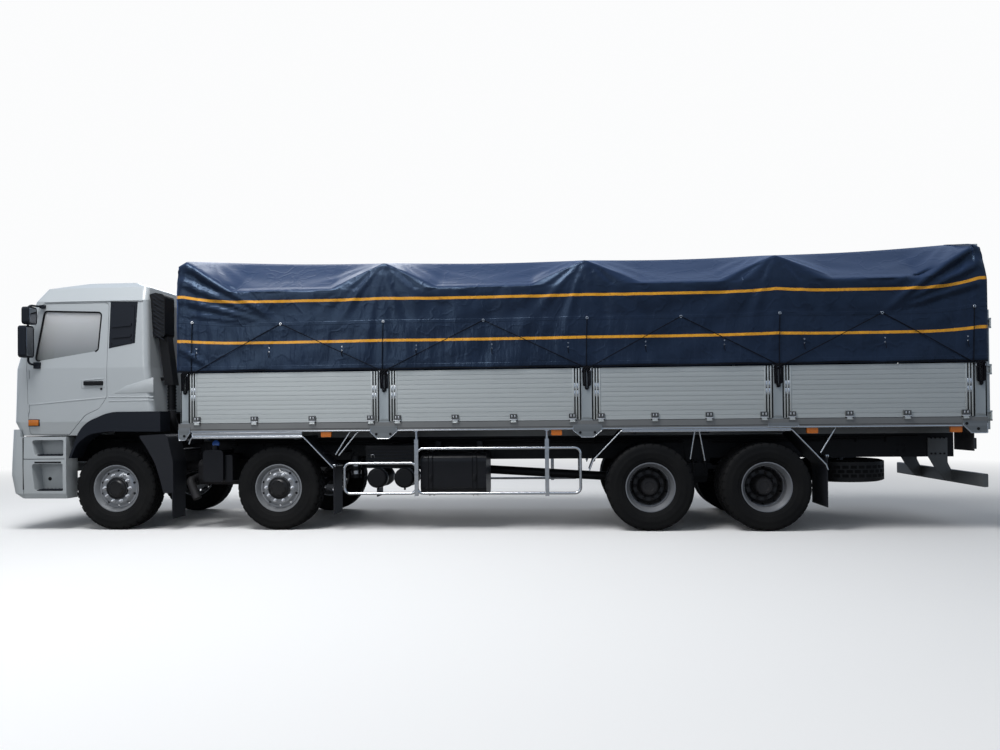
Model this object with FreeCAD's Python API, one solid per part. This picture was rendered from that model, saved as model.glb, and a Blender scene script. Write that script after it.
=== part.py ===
import FreeCAD, Part
import math
import os

# Four-axle cab-over cargo truck: tilting cab, dropside body, tarpaulin over hoops.
# Millimetres. +X forwards, +Y to the truck's left, +Z up. The origin is on the ground
# under the middle of the length.

# Overall
FRONT_X = 6100.0
REAR_X = -6100.0
HALF_WIDTH = 1250.0
SEAT_GAP = 0.3

# Axles and wheels
AXLE_X = {1: 4570.0, 2: 2450.0, 3: -2160.0, 4: -3530.0}
STEERED = (1, 2)
DRIVEN = (3, 4)
TYRE_RADIUS = 525.0
TYRE_WIDTH = 282.0
TYRE_SHOULDER = 22.0
BEAD_RADIUS = 286.0
BEAD_WIDTH = 214.0
FLANGE_RADIUS = 298.5
FLANGE_WIDTH = 236.0
RIM_WALL = 12.0
DISC_WALL = 14.0
DISC_CROWN = 26.0
WELL_REACH = BEAD_RADIUS - 26 - RIM_WALL + 2
TAPER_REACH = BEAD_RADIUS - 10
HUB_RADIUS = 138.0
BOLT_CIRCLE_RADIUS = 167.5
DRUM_RADIUS = 205.0
STEER_TRACK_Y = 1030.0
TWIN_OUTER_Y = 1100.0
TWIN_SPACING = 325.0
KINGPIN_Y = 930.0
KINGPIN_RADIUS = 24.0
KINGPIN_HEIGHT = 150.0
SPINDLE_RADIUS = 42.0

# Ladder frame
RAIL_Y = 430.0
RAIL_WEB = 8.0
RAIL_FLANGE = 85.0
RAIL_BOTTOM = 835.0
RAIL_TOP = 1135.0
RAIL_FRONT_X = 5650.0
RAIL_REAR_X = -6040.0
CROSS_MEMBER_X = (5560.0, 3160.0, 1750.0, -600.0, -2845.0, -4200.0, -5400.0)
CROSS_MEMBER_LENGTH = 120.0
CROSS_MEMBER_HEIGHT = 190.0
TAIL_PLATE = 12.0
COUPLING_WIDTH = 160.0
COUPLING_HEIGHT = 100.0
COUPLING_HOLE_RADIUS = 10.5

# Cab
CAB_WALL = 60.0
CAB_BOTTOM = 1205.0
CAB_FLOOR = 1500.0
CAB_BELT = 2060.0
CAB_GUTTER = 2925.0
CAB_HALF_WIDTH = 1222.0
CAB_REAR_X = 4100.0
FOOTWELL_REAR_X = 5150.0
TUNNEL_HALF_WIDTH = 450.0
TUNNEL_FRONT_X = 5940.0
TILT_X = 5880.0
TILT_Z = 1320.0
TILT_PIN_RADIUS = 25.0
DOOR_GAP = 5.0
DOOR_FRONT_X = 5715.0
DOOR_REAR_X = 4640.0
DOOR_BOTTOM = 1214.0
DOOR_TOP = 2895.0
DOOR_HINGE_X = 5680.0
DOOR_HINGE_Y = 1227.0
GLASS_INSET = 14.0
GLASS_THICKNESS = 6.0

# Cargo body
BODY_FRONT_X = 3690.0
BODY_REAR_X = -6040.0
SILL_BOTTOM = 1227.0
DECK_TOP = 1337.0
DECK_THICKNESS = 40.0
BOARD_TOP = 1967.0
BOARD_THICKNESS = 30.0
BOARD_OUTER_Y = 1245.0
BOARD_GAP = 6.0
BOARD_RIBS = 11
BOARD_RIB_DEPTH = 4.0
HINGE_Y = 1262.0
HINGE_Z = 1325.0
HINGE_RADIUS = 8.0
HINGES_PER_BOARD = 4
POST_X = (3600.0, 1074.0, -1405.0, -3660.0, -5960.0)
POST_WIDTH = (110.0, 140.0, 150.0, 130.0, 140.0)
POST_THICKNESS = 56.0
POST_SEAT = 12.0
REAR_FRAME_TOP = 2650.0
REAR_HEADER = 60.0
DOOR_LEAF = 34.0
DOOR_LEAF_BOTTOM = 1190.0
DOOR_LEAF_TOP = 2586.0

# Tarpaulin and its hoops
TARP_BOTTOM = 1977.0
TARP_THICKNESS = 9.0
TARP_HALF_WIDTH = 1262.0
TARP_SHOULDER = 2970.0
TARP_FRONT_X = 3702.0
TARP_REAR_X = -6050.0
BOW_CORNER_Z = (3381.0, 3307.0, 3284.0, 3289.0, 3371.0)
BOW_CORNER_Y = 1205.0
SLOPE_FOOT = 3015.0
PEAK_REACH = 650.0
RIDGE_RISE = 130.0
RIDGE_SAG = 22.0
HOOP_TUBE = 36.0


def vec(x, y, z):
    return FreeCAD.Vector(x, y, z)


def rounded_edges(corners, closed):
    """Straight edges and tangent arcs through (point, radius) corners."""
    last = len(corners) - 1
    edges = []
    begins, ends = [], []
    arcs = []
    for index, (point, radius) in enumerate(corners):
        at_end = not closed and index in (0, last)
        if radius == 0 or at_end:
            begins.append(point)
            ends.append(point)
            arcs.append(None)
            continue
        back = (corners[index - 1][0] - point).normalize()
        ahead = (corners[(index + 1) % (last + 1)][0] - point).normalize()
        half = back.getAngle(ahead) / 2
        reach = radius / math.tan(half)
        bisector = (back + ahead).normalize()
        centre = point + bisector * (radius / math.sin(half))
        begins.append(point + back * reach)
        ends.append(point + ahead * reach)
        arcs.append(Part.Arc(begins[-1], centre - bisector * radius, ends[-1]).toShape())
    for index in range(last + 1 if closed else last):
        after = (index + 1) % (last + 1)
        if index > 0 or closed:
            edges.append(arcs[index])
        if ends[index].distanceToPoint(begins[after]) > 1e-6:
            edges.append(Part.makeLine(ends[index], begins[after]))
    return [edge for edge in edges if edge is not None]


def corner_list(points, place):
    """Corners in space from (a, b) or (a, b, radius) entries of a flat outline."""
    return [(place(p[0], p[1]), p[2] if len(p) > 2 else 0) for p in points]


def prism(points, axis, low, high):
    """Solid of an outline in XZ along y, in YZ along x, or in XY along z."""
    places = {"x": lambda a, b: vec(low, a, b),
              "y": lambda a, b: vec(a, low, b),
              "z": lambda a, b: vec(a, b, low)}
    along = {"x": vec(high - low, 0, 0), "y": vec(0, high - low, 0), "z": vec(0, 0, high - low)}
    wire = Part.Wire(rounded_edges(corner_list(points, places[axis]), True))
    return Part.Face(wire).extrude(along[axis])


def block(x, y, z):
    """Block between the (low, high) pairs of its three axes."""
    return Part.makeBox(x[1] - x[0], y[1] - y[0], z[1] - z[0], vec(x[0], y[0], z[0]))


def rod(start, end, radius):
    """Round bar from one point to another."""
    run = vec(*end) - vec(*start)
    return Part.makeCylinder(radius, run.Length, vec(*start), run)


def bent_tube(points, radius, bend):
    """Round tube along straight runs joined by arcs of one bend radius."""
    corners = [(vec(*p), bend) for p in points]
    path = Part.Wire(rounded_edges(corners, False))
    heading = corners[1][0] - corners[0][0]
    profile = Part.Wire(Part.makeCircle(radius, corners[0][0], heading))
    return path.makePipeShell([profile], True, False)


def turned(points, x, z):
    """Solid turned about the Y line at x, z from (y, radius) corners."""
    wire = Part.Wire(rounded_edges(corner_list(points, lambda a, b: vec(x, a, z + b)), True))
    return Part.Face(wire).revolve(vec(x, 0, z), vec(0, 1, 0), 360)


def joined(*shapes):
    """One solid from pieces that touch or overlap."""
    if len(shapes) == 1:
        return shapes[0]
    return shapes[0].fuse(list(shapes[1:])).removeSplitter()


def without(shape, *tools):
    return shape.cut(list(tools))


def mirrored(shape):
    """The same shape on the truck's other side."""
    return shape.mirror(vec(0, 0, 0), vec(0, 1, 0))


def both_sides(shape):
    return [shape, mirrored(shape)]


def group(shapes):
    """Separate solids kept together in one node."""
    return Part.makeCompound(shapes)


def tyre(x, y):
    """Tyre with its centre plane at y."""
    half_bead = BEAD_WIDTH / 2
    half = TYRE_WIDTH / 2
    bulge = (BEAD_RADIUS + TYRE_RADIUS) / 2
    crown = half - TYRE_SHOULDER
    right = [(half_bead, BEAD_RADIUS + SEAT_GAP), (half_bead, FLANGE_RADIUS + 2), (half, bulge),
             (half - 6, TYRE_RADIUS - 2 * TYRE_SHOULDER), (crown, TYRE_RADIUS)]
    left = [(-a, r) for a, r in reversed(right)]
    return turned([(y + a, r) for a, r in right + left], x, TYRE_RADIUS)


def rim_barrel(x, y):
    """Drop-centre rim under one tyre."""
    half = FLANGE_WIDTH / 2
    seat = BEAD_RADIUS - SEAT_GAP
    seat_edge = BEAD_WIDTH / 2 - 2
    well = 60.0
    outer = [(-half, FLANGE_RADIUS), (-seat_edge - 4, FLANGE_RADIUS), (-seat_edge - 4, seat),
             (-well, seat - 4), (-well + 14, seat - 26), (well - 14, seat - 26), (well, seat - 4),
             (seat_edge + 4, seat), (seat_edge + 4, FLANGE_RADIUS), (half, FLANGE_RADIUS)]
    inner = [(half, FLANGE_RADIUS - RIM_WALL), (well - 10, seat - 26 - RIM_WALL),
             (-well + 10, seat - 26 - RIM_WALL), (-half, FLANGE_RADIUS - RIM_WALL)]
    return turned([(y + a, r) for a, r in outer + inner], x, TYRE_RADIUS)


def wheel_disc(x, y, way, bow, reach):
    """Pressed disc from the hub face at y, dished by bow towards way out to the radius reach."""
    plate = way * DISC_WALL
    rim_y = way * bow
    points = [(0, DRUM_RADIUS - 60), (0, BOLT_CIRCLE_RADIUS + 26), (rim_y, BOLT_CIRCLE_RADIUS + 60),
              (rim_y, reach), (rim_y + plate, reach), (rim_y + plate, BOLT_CIRCLE_RADIUS + 56),
              (plate, BOLT_CIRCLE_RADIUS + 20), (plate, DRUM_RADIUS - 60)]
    disc = turned([(y + a, r) for a, r in points], x, TYRE_RADIUS)
    holes = []
    for step in range(10):
        angle = math.radians(36 * step + 18)
        px = x + (BOLT_CIRCLE_RADIUS + 56) * math.cos(angle)
        pz = TYRE_RADIUS + (BOLT_CIRCLE_RADIUS + 56) * math.sin(angle)
        holes.append(rod((px, y - 120, pz), (px, y + 120, pz), 15))
    return without(disc, *holes)


def hub(x, face_y, cap_y, drum_y, side):
    """Hub, its cap and the brake drum, with a blind bore for the spindle."""
    bore_end = face_y - side * 20
    points = [(drum_y, SPINDLE_RADIUS + SEAT_GAP), (drum_y, DRUM_RADIUS), (face_y - side * 34, DRUM_RADIUS),
              (face_y - side * DISC_WALL, DRUM_RADIUS - 20), (face_y - side * DISC_WALL, HUB_RADIUS),
              (face_y + side * 24, HUB_RADIUS), (cap_y - side * 12, HUB_RADIUS - 34),
              (cap_y, HUB_RADIUS - 48), (cap_y, 0), (bore_end, 0), (bore_end, SPINDLE_RADIUS + SEAT_GAP)]
    return turned([(a, r) for a, r in points], x, TYRE_RADIUS)


def steered_wheel(x, side):
    """Rim, bowed disc and hub of a single front wheel."""
    face = side * (STEER_TRACK_Y + 88)
    barrel = rim_barrel(x, side * STEER_TRACK_Y)
    disc = wheel_disc(x, face, -side, DISC_CROWN, WELL_REACH)
    return joined(barrel, disc, hub(x, face, face + side * 44, side * (KINGPIN_Y + 45), side))


def twin_wheel(x, side):
    """Two rims back to back on one hub."""
    inner_y = TWIN_OUTER_Y - TWIN_SPACING
    middle = side * (TWIN_OUTER_Y + inner_y) / 2
    bow = TWIN_SPACING / 2 - FLANGE_WIDTH / 2 + 24
    outer_disc = wheel_disc(x, middle, side, bow, TAPER_REACH)
    inner_disc = wheel_disc(x, middle, -side, bow, TAPER_REACH)
    hub_cap = middle + side * 150
    drum_y = side * (inner_y - FLANGE_WIDTH / 2 + 6)
    return joined(rim_barrel(x, side * TWIN_OUTER_Y), rim_barrel(x, side * inner_y), outer_disc,
                  inner_disc, hub(x, middle + side * DISC_WALL, hub_cap, drum_y, side))


def twin_tyres(x, side):
    inner_y = TWIN_OUTER_Y - TWIN_SPACING
    return group([tyre(x, side * TWIN_OUTER_Y), tyre(x, side * inner_y)])


def knuckle(x, side):
    """Steering knuckle: fork round the beam end, spindle and steering arm."""
    y = side * KINGPIN_Y
    half_height = KINGPIN_HEIGHT / 2
    yoke_low, yoke_high = TYRE_RADIUS - half_height, TYRE_RADIUS + half_height
    fork_y = sorted((y - side * 45, y + side * 42))
    fork = block((x - 44, x + 44), fork_y, (yoke_low, yoke_high))
    slot = block((x - 60, x + 60), sorted((y - side * 60, y + side * 36)),
                 (TYRE_RADIUS - 46, TYRE_RADIUS + 46))
    bore = rod((x, y, yoke_low - 5), (x, y, yoke_high + 5), KINGPIN_RADIUS + SEAT_GAP)
    spindle = rod((x, y + side * 37, TYRE_RADIUS), (x, side * (STEER_TRACK_Y + 60), TYRE_RADIUS),
                  SPINDLE_RADIUS)
    arm = block((x - 230, x - 40), sorted((y - side * 40, y - side * 4)), (yoke_low, yoke_low + 26))
    return joined(without(fork, slot, bore), spindle, arm)


def front_beam(x):
    """Dropped front axle beam with its kingpins."""
    half = KINGPIN_Y
    eye = 40.0
    drop = 105.0
    depth = 90.0
    z = TYRE_RADIUS
    outline = [(-half, z + eye), (-half + 90, z + eye), (-620, z - drop + depth, 60),
               (620, z - drop + depth, 60), (half - 90, z + eye), (half, z + eye), (half, z - eye),
               (half - 90, z - eye), (640, z - drop - 10, 60), (-640, z - drop - 10, 60),
               (-half + 90, z - eye), (-half, z - eye)]
    beam = prism(outline, "x", x - 42, x + 42)
    pins = []
    for side in (1, -1):
        beam = joined(beam, rod((x, side * half, z - eye), (x, side * half, z + eye), 30))
        pins.append(rod((x, side * half, z - KINGPIN_HEIGHT / 2), (x, side * half, z + KINGPIN_HEIGHT / 2),
                        KINGPIN_RADIUS))
    return joined(beam, *pins)


def drive_axle(x):
    """Banjo axle housing with its spindles."""
    z = TYRE_RADIUS
    inner = TWIN_OUTER_Y - TWIN_SPACING - FLANGE_WIDTH / 2
    tube = rod((x, -inner, z), (x, inner, z), 68)
    bowl = turned([(-230, 0), (-230, 70), (-90, 215, 60), (90, 215, 60), (230, 70), (230, 0)], x, z)
    spindle_end = (TWIN_OUTER_Y * 2 - TWIN_SPACING) / 2 - 20
    spindles = rod((x, -spindle_end, z), (x, spindle_end, z), SPINDLE_RADIUS)
    nose = rod((x + 150, 0, z + 40), (x + 330, 0, z + 40), 95)
    return joined(tube, bowl, spindles, nose)


def prop_shaft(start, end):
    """Tube with a flange at each end."""
    along = (vec(*end) - vec(*start)).normalize()
    parts = [rod(start, end, 58)]
    for point, way in ((vec(*start), along), (vec(*end), along * -1)):
        parts.append(Part.makeCylinder(86, 26, point, way))
    return joined(*parts)


def axles():
    """Front beams, drive axles, gearbox shafts and the steady bearing."""
    nose_z = TYRE_RADIUS + 40
    shafts = [prop_shaft((3297, 0, 800), (1051, 0, 742)),
              prop_shaft((1051, 0, 742), (AXLE_X[3] + 330, 0, nose_z)),
              prop_shaft((AXLE_X[3] - 212, 0, 560), (AXLE_X[4] + 330, 0, nose_z))]
    driven = joined(*[drive_axle(AXLE_X[n]) for n in DRIVEN], *shafts)
    return group([front_beam(AXLE_X[n]) for n in STEERED] + [driven])


def leaf_pack(x, y, half_length, low, high, leaves, rises):
    """Stacked leaves bowed in an arc, the longest at the ends' height; rises is 1 up, -1 down."""
    thickness = 18.0
    pieces = []
    for index in range(leaves):
        reach = half_length * (1 - 0.26 * index)
        offset = thickness * index * (1 if rises > 0 else -1)
        middle = (low if rises > 0 else high) - offset
        end_lift = rises * (high - low) * (reach / half_length) ** 2
        top = Part.Arc(vec(x - reach, y[0], middle + end_lift), vec(x, y[0], middle),
                       vec(x + reach, y[0], middle + end_lift)).toShape()
        lower = top.translated(vec(0, 0, -thickness))
        ends = [Part.makeLine(vec(x + s * reach, y[0], middle + end_lift),
                              vec(x + s * reach, y[0], middle + end_lift - thickness)) for s in (1, -1)]
        face = Part.Face(Part.Wire([top, ends[0], lower, ends[1]]))
        pieces.append(face.extrude(vec(0, y[1] - y[0], 0)))
    return joined(*pieces)


def front_spring(x):
    """Spring over the beam with its hangers down from the rail."""
    y = (RAIL_Y - 75, RAIL_Y + 5)
    seat = TYRE_RADIUS + 3
    pack = leaf_pack(x, y, 760, seat + 72, 760, 4, 1)
    base = block((x - 90, x + 90), y, (seat - 18, seat + 8))
    hangers = [block((x + s * 790 - 60, x + s * 790 + 60), y, (735, RAIL_BOTTOM)) for s in (1, -1)]
    return joined(pack, base, *hangers)


def bogie_spring():
    """Inverted spring on its trunnion, its ends bearing on both drive axles."""
    middle = (AXLE_X[3] + AXLE_X[4]) / 2
    reach = (AXLE_X[3] - AXLE_X[4]) / 2 + 30
    y = (RAIL_Y + 22, RAIL_Y + 112)
    seat = TYRE_RADIUS + 68
    pack = leaf_pack(middle, y, reach, seat + 18, seat + 130, 5, -1)
    saddle = block((middle - 110, middle + 110), (RAIL_Y, RAIL_Y + 112), (seat + 10, seat + 114))
    trunnion = prism([(middle - 190, RAIL_TOP - 60), (middle + 190, RAIL_TOP - 60),
                      (middle + 110, 520, 40), (middle - 110, 520, 40)], "y", RAIL_Y, RAIL_Y + 20)
    pads = []
    for n in DRIVEN:
        pad = block((AXLE_X[n] - 50, AXLE_X[n] + 50), y, (seat - 14, seat + 24))
        tube = rod((AXLE_X[n], y[0] - 5, TYRE_RADIUS), (AXLE_X[n], y[1] + 5, TYRE_RADIUS), 68 + SEAT_GAP)
        pads.append(without(pad, tube))
    return joined(pack, saddle, trunnion, *pads)


def springs():
    packs = [front_spring(AXLE_X[n]) for n in STEERED] + [bogie_spring()]
    return group([side for pack in packs for side in both_sides(pack)])


def rail():
    """One channel rail of the ladder frame, web outwards."""
    inner = RAIL_Y - RAIL_FLANGE
    profile = [(RAIL_Y, RAIL_BOTTOM), (RAIL_Y, RAIL_TOP), (inner, RAIL_TOP), (inner, RAIL_TOP - RAIL_WEB),
               (RAIL_Y - RAIL_WEB, RAIL_TOP - RAIL_WEB), (RAIL_Y - RAIL_WEB, RAIL_BOTTOM + RAIL_WEB),
               (inner, RAIL_BOTTOM + RAIL_WEB), (inner, RAIL_BOTTOM)]
    return prism(profile, "x", RAIL_REAR_X, RAIL_FRONT_X)


def cross_member(x):
    """Channel between the two webs, open downwards."""
    half = CROSS_MEMBER_LENGTH / 2
    middle = (RAIL_BOTTOM + RAIL_TOP) / 2
    low, high = middle - CROSS_MEMBER_HEIGHT / 2, middle + CROSS_MEMBER_HEIGHT / 2
    web = RAIL_Y - RAIL_WEB
    outer = block((x - half, x + half), (-web, web), (low, high))
    return without(outer, block((x - half + 8, x + half - 8), (-web, web), (low - 1, high - 8)))


def tilt_bracket(side):
    """Plate from the rail's front end up to the cab's tilting pin."""
    low_x, high_x = RAIL_FRONT_X - 250, RAIL_FRONT_X - 4
    outline = [(low_x, RAIL_TOP), (high_x + 60, RAIL_TOP - 110), (high_x + 110, RAIL_TOP + 20, 30),
               (TILT_X + 34, TILT_Z - 40, 30), (TILT_X + 44, TILT_Z + 44, 40),
               (TILT_X - 50, TILT_Z + 44, 40)]
    y = sorted((side * (RAIL_Y + 1), side * (RAIL_Y - 40)))
    plate = prism(outline, "y", y[0], y[1])
    foot = block((low_x, RAIL_FRONT_X), y, (RAIL_TOP - 120, RAIL_TOP))
    bore = rod((TILT_X, y[0] - 5, TILT_Z), (TILT_X, y[1] + 5, TILT_Z), TILT_PIN_RADIUS + SEAT_GAP)
    return without(joined(plate, foot), bore)


def chassis_frame():
    """Ladder frame with the cab's tilting brackets and the rear end plate."""
    rails = both_sides(rail())
    members = [cross_member(x) for x in CROSS_MEMBER_X]
    tail = block((RAIL_REAR_X, RAIL_REAR_X + TAIL_PLATE), (-RAIL_Y, RAIL_Y), (RAIL_BOTTOM, RAIL_TOP))
    middle = (RAIL_BOTTOM + RAIL_TOP) / 2
    holes = []
    for y in (-COUPLING_WIDTH / 2, COUPLING_WIDTH / 2):
        for z in (middle - COUPLING_HEIGHT / 2, middle + COUPLING_HEIGHT / 2):
            holes.append(rod((RAIL_REAR_X - 5, y, z), (RAIL_REAR_X + TAIL_PLATE + 5, y, z), COUPLING_HOLE_RADIUS))
    tail = without(tail, *holes)
    return joined(*rails, *members, tail, tilt_bracket(1), tilt_bracket(-1))


def engine_block():
    """Engine with its gearbox behind, as one plain mass between the rails."""
    engine = block((4150, 5380), (-330, 330), (640, 1480))
    gearbox = prism([(-240, 680, 60), (240, 680, 60), (240, 1040, 60), (-240, 1040, 60)], "x", 3300, 4150)
    web = RAIL_Y - RAIL_WEB
    feet = [block((x, x + 110), (-web, web), (900, 960)) for x in (4260, 5120)]
    return joined(engine, gearbox, *feet)


# Cab body sections from nose to roof: height, side front x, middle front x, rear x, half width
CAB_SECTIONS = ((CAB_BOTTOM, 5830.0, 5990.0, CAB_REAR_X - 88, CAB_HALF_WIDTH - 30),
                (1380.0, 5905.0, 6040.0, CAB_REAR_X - 80, CAB_HALF_WIDTH - 4),
                (CAB_BELT, 5880.0, 6020.0, CAB_REAR_X, CAB_HALF_WIDTH),
                (CAB_GUTTER, 5660.0, 5790.0, CAB_REAR_X + 50, CAB_HALF_WIDTH - 62),
                (3105.0, 5570.0, 5690.0, CAB_REAR_X + 90, CAB_HALF_WIDTH - 170),
                (3195.0, 5170.0, 5230.0, CAB_REAR_X + 330, CAB_HALF_WIDTH - 360))
CAB_FRONT_CORNER = 120.0
CAB_REAR_CORNER = 70.0


def cab_section(section, inset):
    """Plan outline of the cab at one height, drawn in by inset."""
    z, side_x, middle_x, rear_x, half = section
    half -= inset
    corner = max(CAB_FRONT_CORNER - inset, 20)
    rear_corner = max(CAB_REAR_CORNER - inset, 8)
    points = [(rear_x + inset, -half, rear_corner), (side_x - inset, -half, corner),
              (middle_x - inset, 0, 4500), (side_x - inset, half, corner),
              (rear_x + inset, half, rear_corner)]
    return Part.Wire(rounded_edges(corner_list(points, lambda a, b: vec(a, b, z)), True))


def cab_volume(inset):
    """The cab's outer form, or the form inset from it, between its lowest and highest section."""
    top = CAB_SECTIONS[-1]
    sections = [cab_section(s, inset) for s in CAB_SECTIONS[:-1]]
    sections.append(cab_section((top[0] - inset,) + top[1:], inset))
    return Part.makeLoft(sections, True, True)


def cab_layer(outer_inset, inner_inset):
    return without(cab_volume(outer_inset), cab_volume(inner_inset))


def door_outline(gap):
    """The door's outline in XZ, drawn in by gap."""
    low, high = DOOR_BOTTOM + gap, DOOR_TOP - gap
    front, rear = DOOR_FRONT_X - gap, DOOR_REAR_X + gap
    return [(front - 30, low, 40), (FOOTWELL_REAR_X + 6 + gap, low), (4925 + gap, 1462 + gap, 60),
            (4750, 1540 + gap, 50), (rear, 1690, 40), (rear, high, 50), (front - 150, high, 90),
            (front, CAB_BELT + 120, 200)]


def window_outline(gap):
    """Side window in XZ, drawn in by gap."""
    return [(5600 - gap, 2150 + gap, 40), (4766 + gap, 2277 + gap, 40), (4738 + gap, 2770 - gap, 40),
            (5502 - gap, 2800 - gap, 60)]


def screen_outline(gap):
    """Windscreen in YZ, drawn in by gap."""
    foot, head = 1075 - gap, 985 - gap
    return [(-foot, 2150 + gap, 60), (foot, 2150 + gap, 60), (head, 2860 - gap, 60),
            (-head, 2860 - gap, 60)]


def grille_outline(gap):
    wide = 860 - gap
    return [(-wide, 1480 + gap, 50), (wide, 1480 + gap, 50), (wide - 30, 2010 - gap, 50),
            (-wide + 30, 2010 - gap, 50)]


def arch_cut(gap):
    """Space over the front wheels that the cab leaves open, in XZ."""
    return prism([(3800, 900), (3800, CAB_FLOOR + gap), (4600, CAB_FLOOR + gap, 600),
                  (4975 + gap, 1345 + gap / 2, 400), (FOOTWELL_REAR_X + gap, 900)], "y", -1400, 1400)


def tunnel_cut(gap):
    """Space for the engine and the tilting brackets."""
    half = TUNNEL_HALF_WIDTH + gap
    return block((3800, TUNNEL_FRONT_X), (-half, half), (900, CAB_FLOOR + gap))


def cab_shell():
    """Hollow cab with door openings, windscreen, grille recess, engine tunnel and tilting pin."""
    cavity = cab_volume(CAB_WALL)
    floor = block((3000, 7000), (-1500, 1500), (900, CAB_BOTTOM + CAB_WALL))
    cavity = without(cavity, floor, arch_cut(CAB_WALL), tunnel_cut(CAB_WALL))
    shell = without(cab_volume(0), cavity, arch_cut(0), tunnel_cut(0))
    doors = prism(door_outline(0), "y", -1400, 1400)
    screen = prism(screen_outline(0), "x", 5400, 6300)
    recess = cab_layer(-5, 26).common(prism(grille_outline(0), "x", 5800, 6300))
    shell = without(shell, doors, screen, recess)
    pin_half = TUNNEL_HALF_WIDTH + 2
    pin = rod((TILT_X, -pin_half, TILT_Z), (TILT_X, pin_half, TILT_Z), TILT_PIN_RADIUS)
    return joined(shell, pin)


def cab_door(side):
    """Door cut from the cab's own wall, with its window frame and pull handle."""
    reach = sorted((side * 900, side * 1400))
    slab = cab_layer(0, CAB_WALL).common(prism(door_outline(DOOR_GAP), "y", reach[0], reach[1]))
    window = prism(window_outline(0), "y", reach[0], reach[1])
    pull = block((4700, 4930), sorted((side * (CAB_HALF_WIDTH - 12), side * (CAB_HALF_WIDTH + 22))),
                 (1846, 1884))
    grip = block((4716, 4914), sorted((side * (CAB_HALF_WIDTH - 1), side * (CAB_HALF_WIDTH + 10))),
                 (1840, 1890))
    barrels = [rod((DOOR_HINGE_X, side * DOOR_HINGE_Y, z), (DOOR_HINGE_X, side * DOOR_HINGE_Y, z + 110), 9)
               for z in (1500, 1930)]
    return joined(without(slab, window), without(pull, grip), *barrels)


def door_glass(side):
    reach = sorted((side * 900, side * 1400))
    layer = cab_layer(GLASS_INSET, GLASS_INSET + GLASS_THICKNESS)
    return layer.common(prism(window_outline(SEAT_GAP), "y", reach[0], reach[1]))


def windscreen():
    layer = cab_layer(GLASS_INSET, GLASS_INSET + GLASS_THICKNESS)
    return layer.common(prism(screen_outline(SEAT_GAP), "x", 5400, 6300))


def front_grille():
    """Recessed panel with bars across the nose."""
    panel = cab_layer(12, 26 - SEAT_GAP).common(prism(grille_outline(SEAT_GAP), "x", 5800, 6300))
    bars = []
    for index in range(5):
        low = 1530 + 92 * index
        bar = prism([(-820, low, 14), (820, low, 14), (820, low + 44, 14), (-820, low + 44, 14)],
                    "x", 5800, 6300)
        bars.append(cab_layer(0, 14).common(bar))
    return joined(panel, *bars)


def seat(y):
    """Seat on its box: cushion, back and headrest."""
    base = block((4800, 5240), (y - 210, y + 210), (CAB_FLOOR + CAB_WALL, 1860))
    cushion = prism([(4760, 1860), (5280, 1860, 40), (5280, 1985, 50), (4760, 1960)], "y", y - 255, y + 255)
    back = prism([(4760, 1930), (4880, 1960, 40), (4800, 2560, 50), (4700, 2560, 50)], "y", y - 245, y + 245)
    head = prism([(4700, 2540, 20), (4800, 2540, 20), (4790, 2720, 40), (4690, 2720, 40)], "y", y - 130, y + 130)
    return joined(base, cushion, back, head)


def steering_wheel(y):
    """Wheel on a raked column, its foot on the engine tunnel's side."""
    top = vec(5290, y, 2130)
    axis = vec(-0.5, 0, 0.87)
    ring = Part.makeTorus(215, 15, top, axis)
    column = Part.makeCylinder(32, 520, top, axis * -1)
    spoke = block((-200, 200), (-14, 14), (-10, 8))
    spoke.rotate(vec(0, 0, 0), vec(0, 1, 0), -30)
    cross = block((-14, 14), (-204, 204), (-10, 8))
    cross.rotate(vec(0, 0, 0), vec(0, 1, 0), -30)
    return joined(ring, column, spoke.translated(top), cross.translated(top))


def cab_interior():
    """Two seats, the dashboard with the steering wheel, and the bunk behind."""
    low_x = 5380
    dash = prism([(low_x, 1760, 40), (low_x + 60, 1700), (5740, 1700), (5740, 2100), (5560, 2130, 30),
                  (low_x + 20, 2040, 40)], "y", -1120, 1120)
    dash_support = block((5560, 5740), (-TUNNEL_HALF_WIDTH, TUNNEL_HALF_WIDTH), (CAB_FLOOR + CAB_WALL, 1700))
    bunk = prism([(4175, CAB_FLOOR + CAB_WALL), (4640, CAB_FLOOR + CAB_WALL), (4640, 1960, 40),
                  (4175, 1960, 40)], "y", -1080, 1080)
    return joined(dash, dash_support, steering_wheel(620), seat(620), seat(-620),
                  block((4630, 4810), (-850, 850), (CAB_FLOOR + CAB_WALL, CAB_FLOOR + CAB_WALL + 12)), bunk)


# Mirror heads: low x, high x, low z, high z
MIRROR_HEADS = ((5470, 5640, 2605, 2825), (5510, 5690, 2190, 2590))
MIRROR_INNER_Y = 1300.0
MIRROR_OUTER_Y = 1460.0


def mirror(side):
    """Two mirror heads on a tube arm that is held to the door at its top and foot."""
    y_low, y_high = sorted((side * MIRROR_INNER_Y, side * MIRROR_OUTER_Y))
    heads = []
    for low_x, high_x, low_z, high_z in MIRROR_HEADS:
        outline = [(y_low, low_z, 40), (y_high, low_z, 40), (y_high, high_z, 40), (y_low, high_z, 40)]
        heads.append(prism(outline, "x", low_x + 40, high_x - 40))
    door_y = side * (CAB_HALF_WIDTH - 2)
    arm_y = side * 1340
    top_y = side * (CAB_HALF_WIDTH - 57)
    arm = bent_tube([(5560, door_y, 2110), (5600, arm_y, 2110), (5600, arm_y, 2855), (5520, top_y, 2855)], 13, 50)
    foot = block((5520, 5600), sorted((door_y - side * 4, door_y + side * 30)), (2060, 2140))
    head_mount = block((5485, 5550), sorted((top_y - side * 6, top_y + side * 40)), (2835, 2875))
    return without(joined(*heads, arm, foot, head_mount), cab_volume(-SEAT_GAP))


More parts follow.
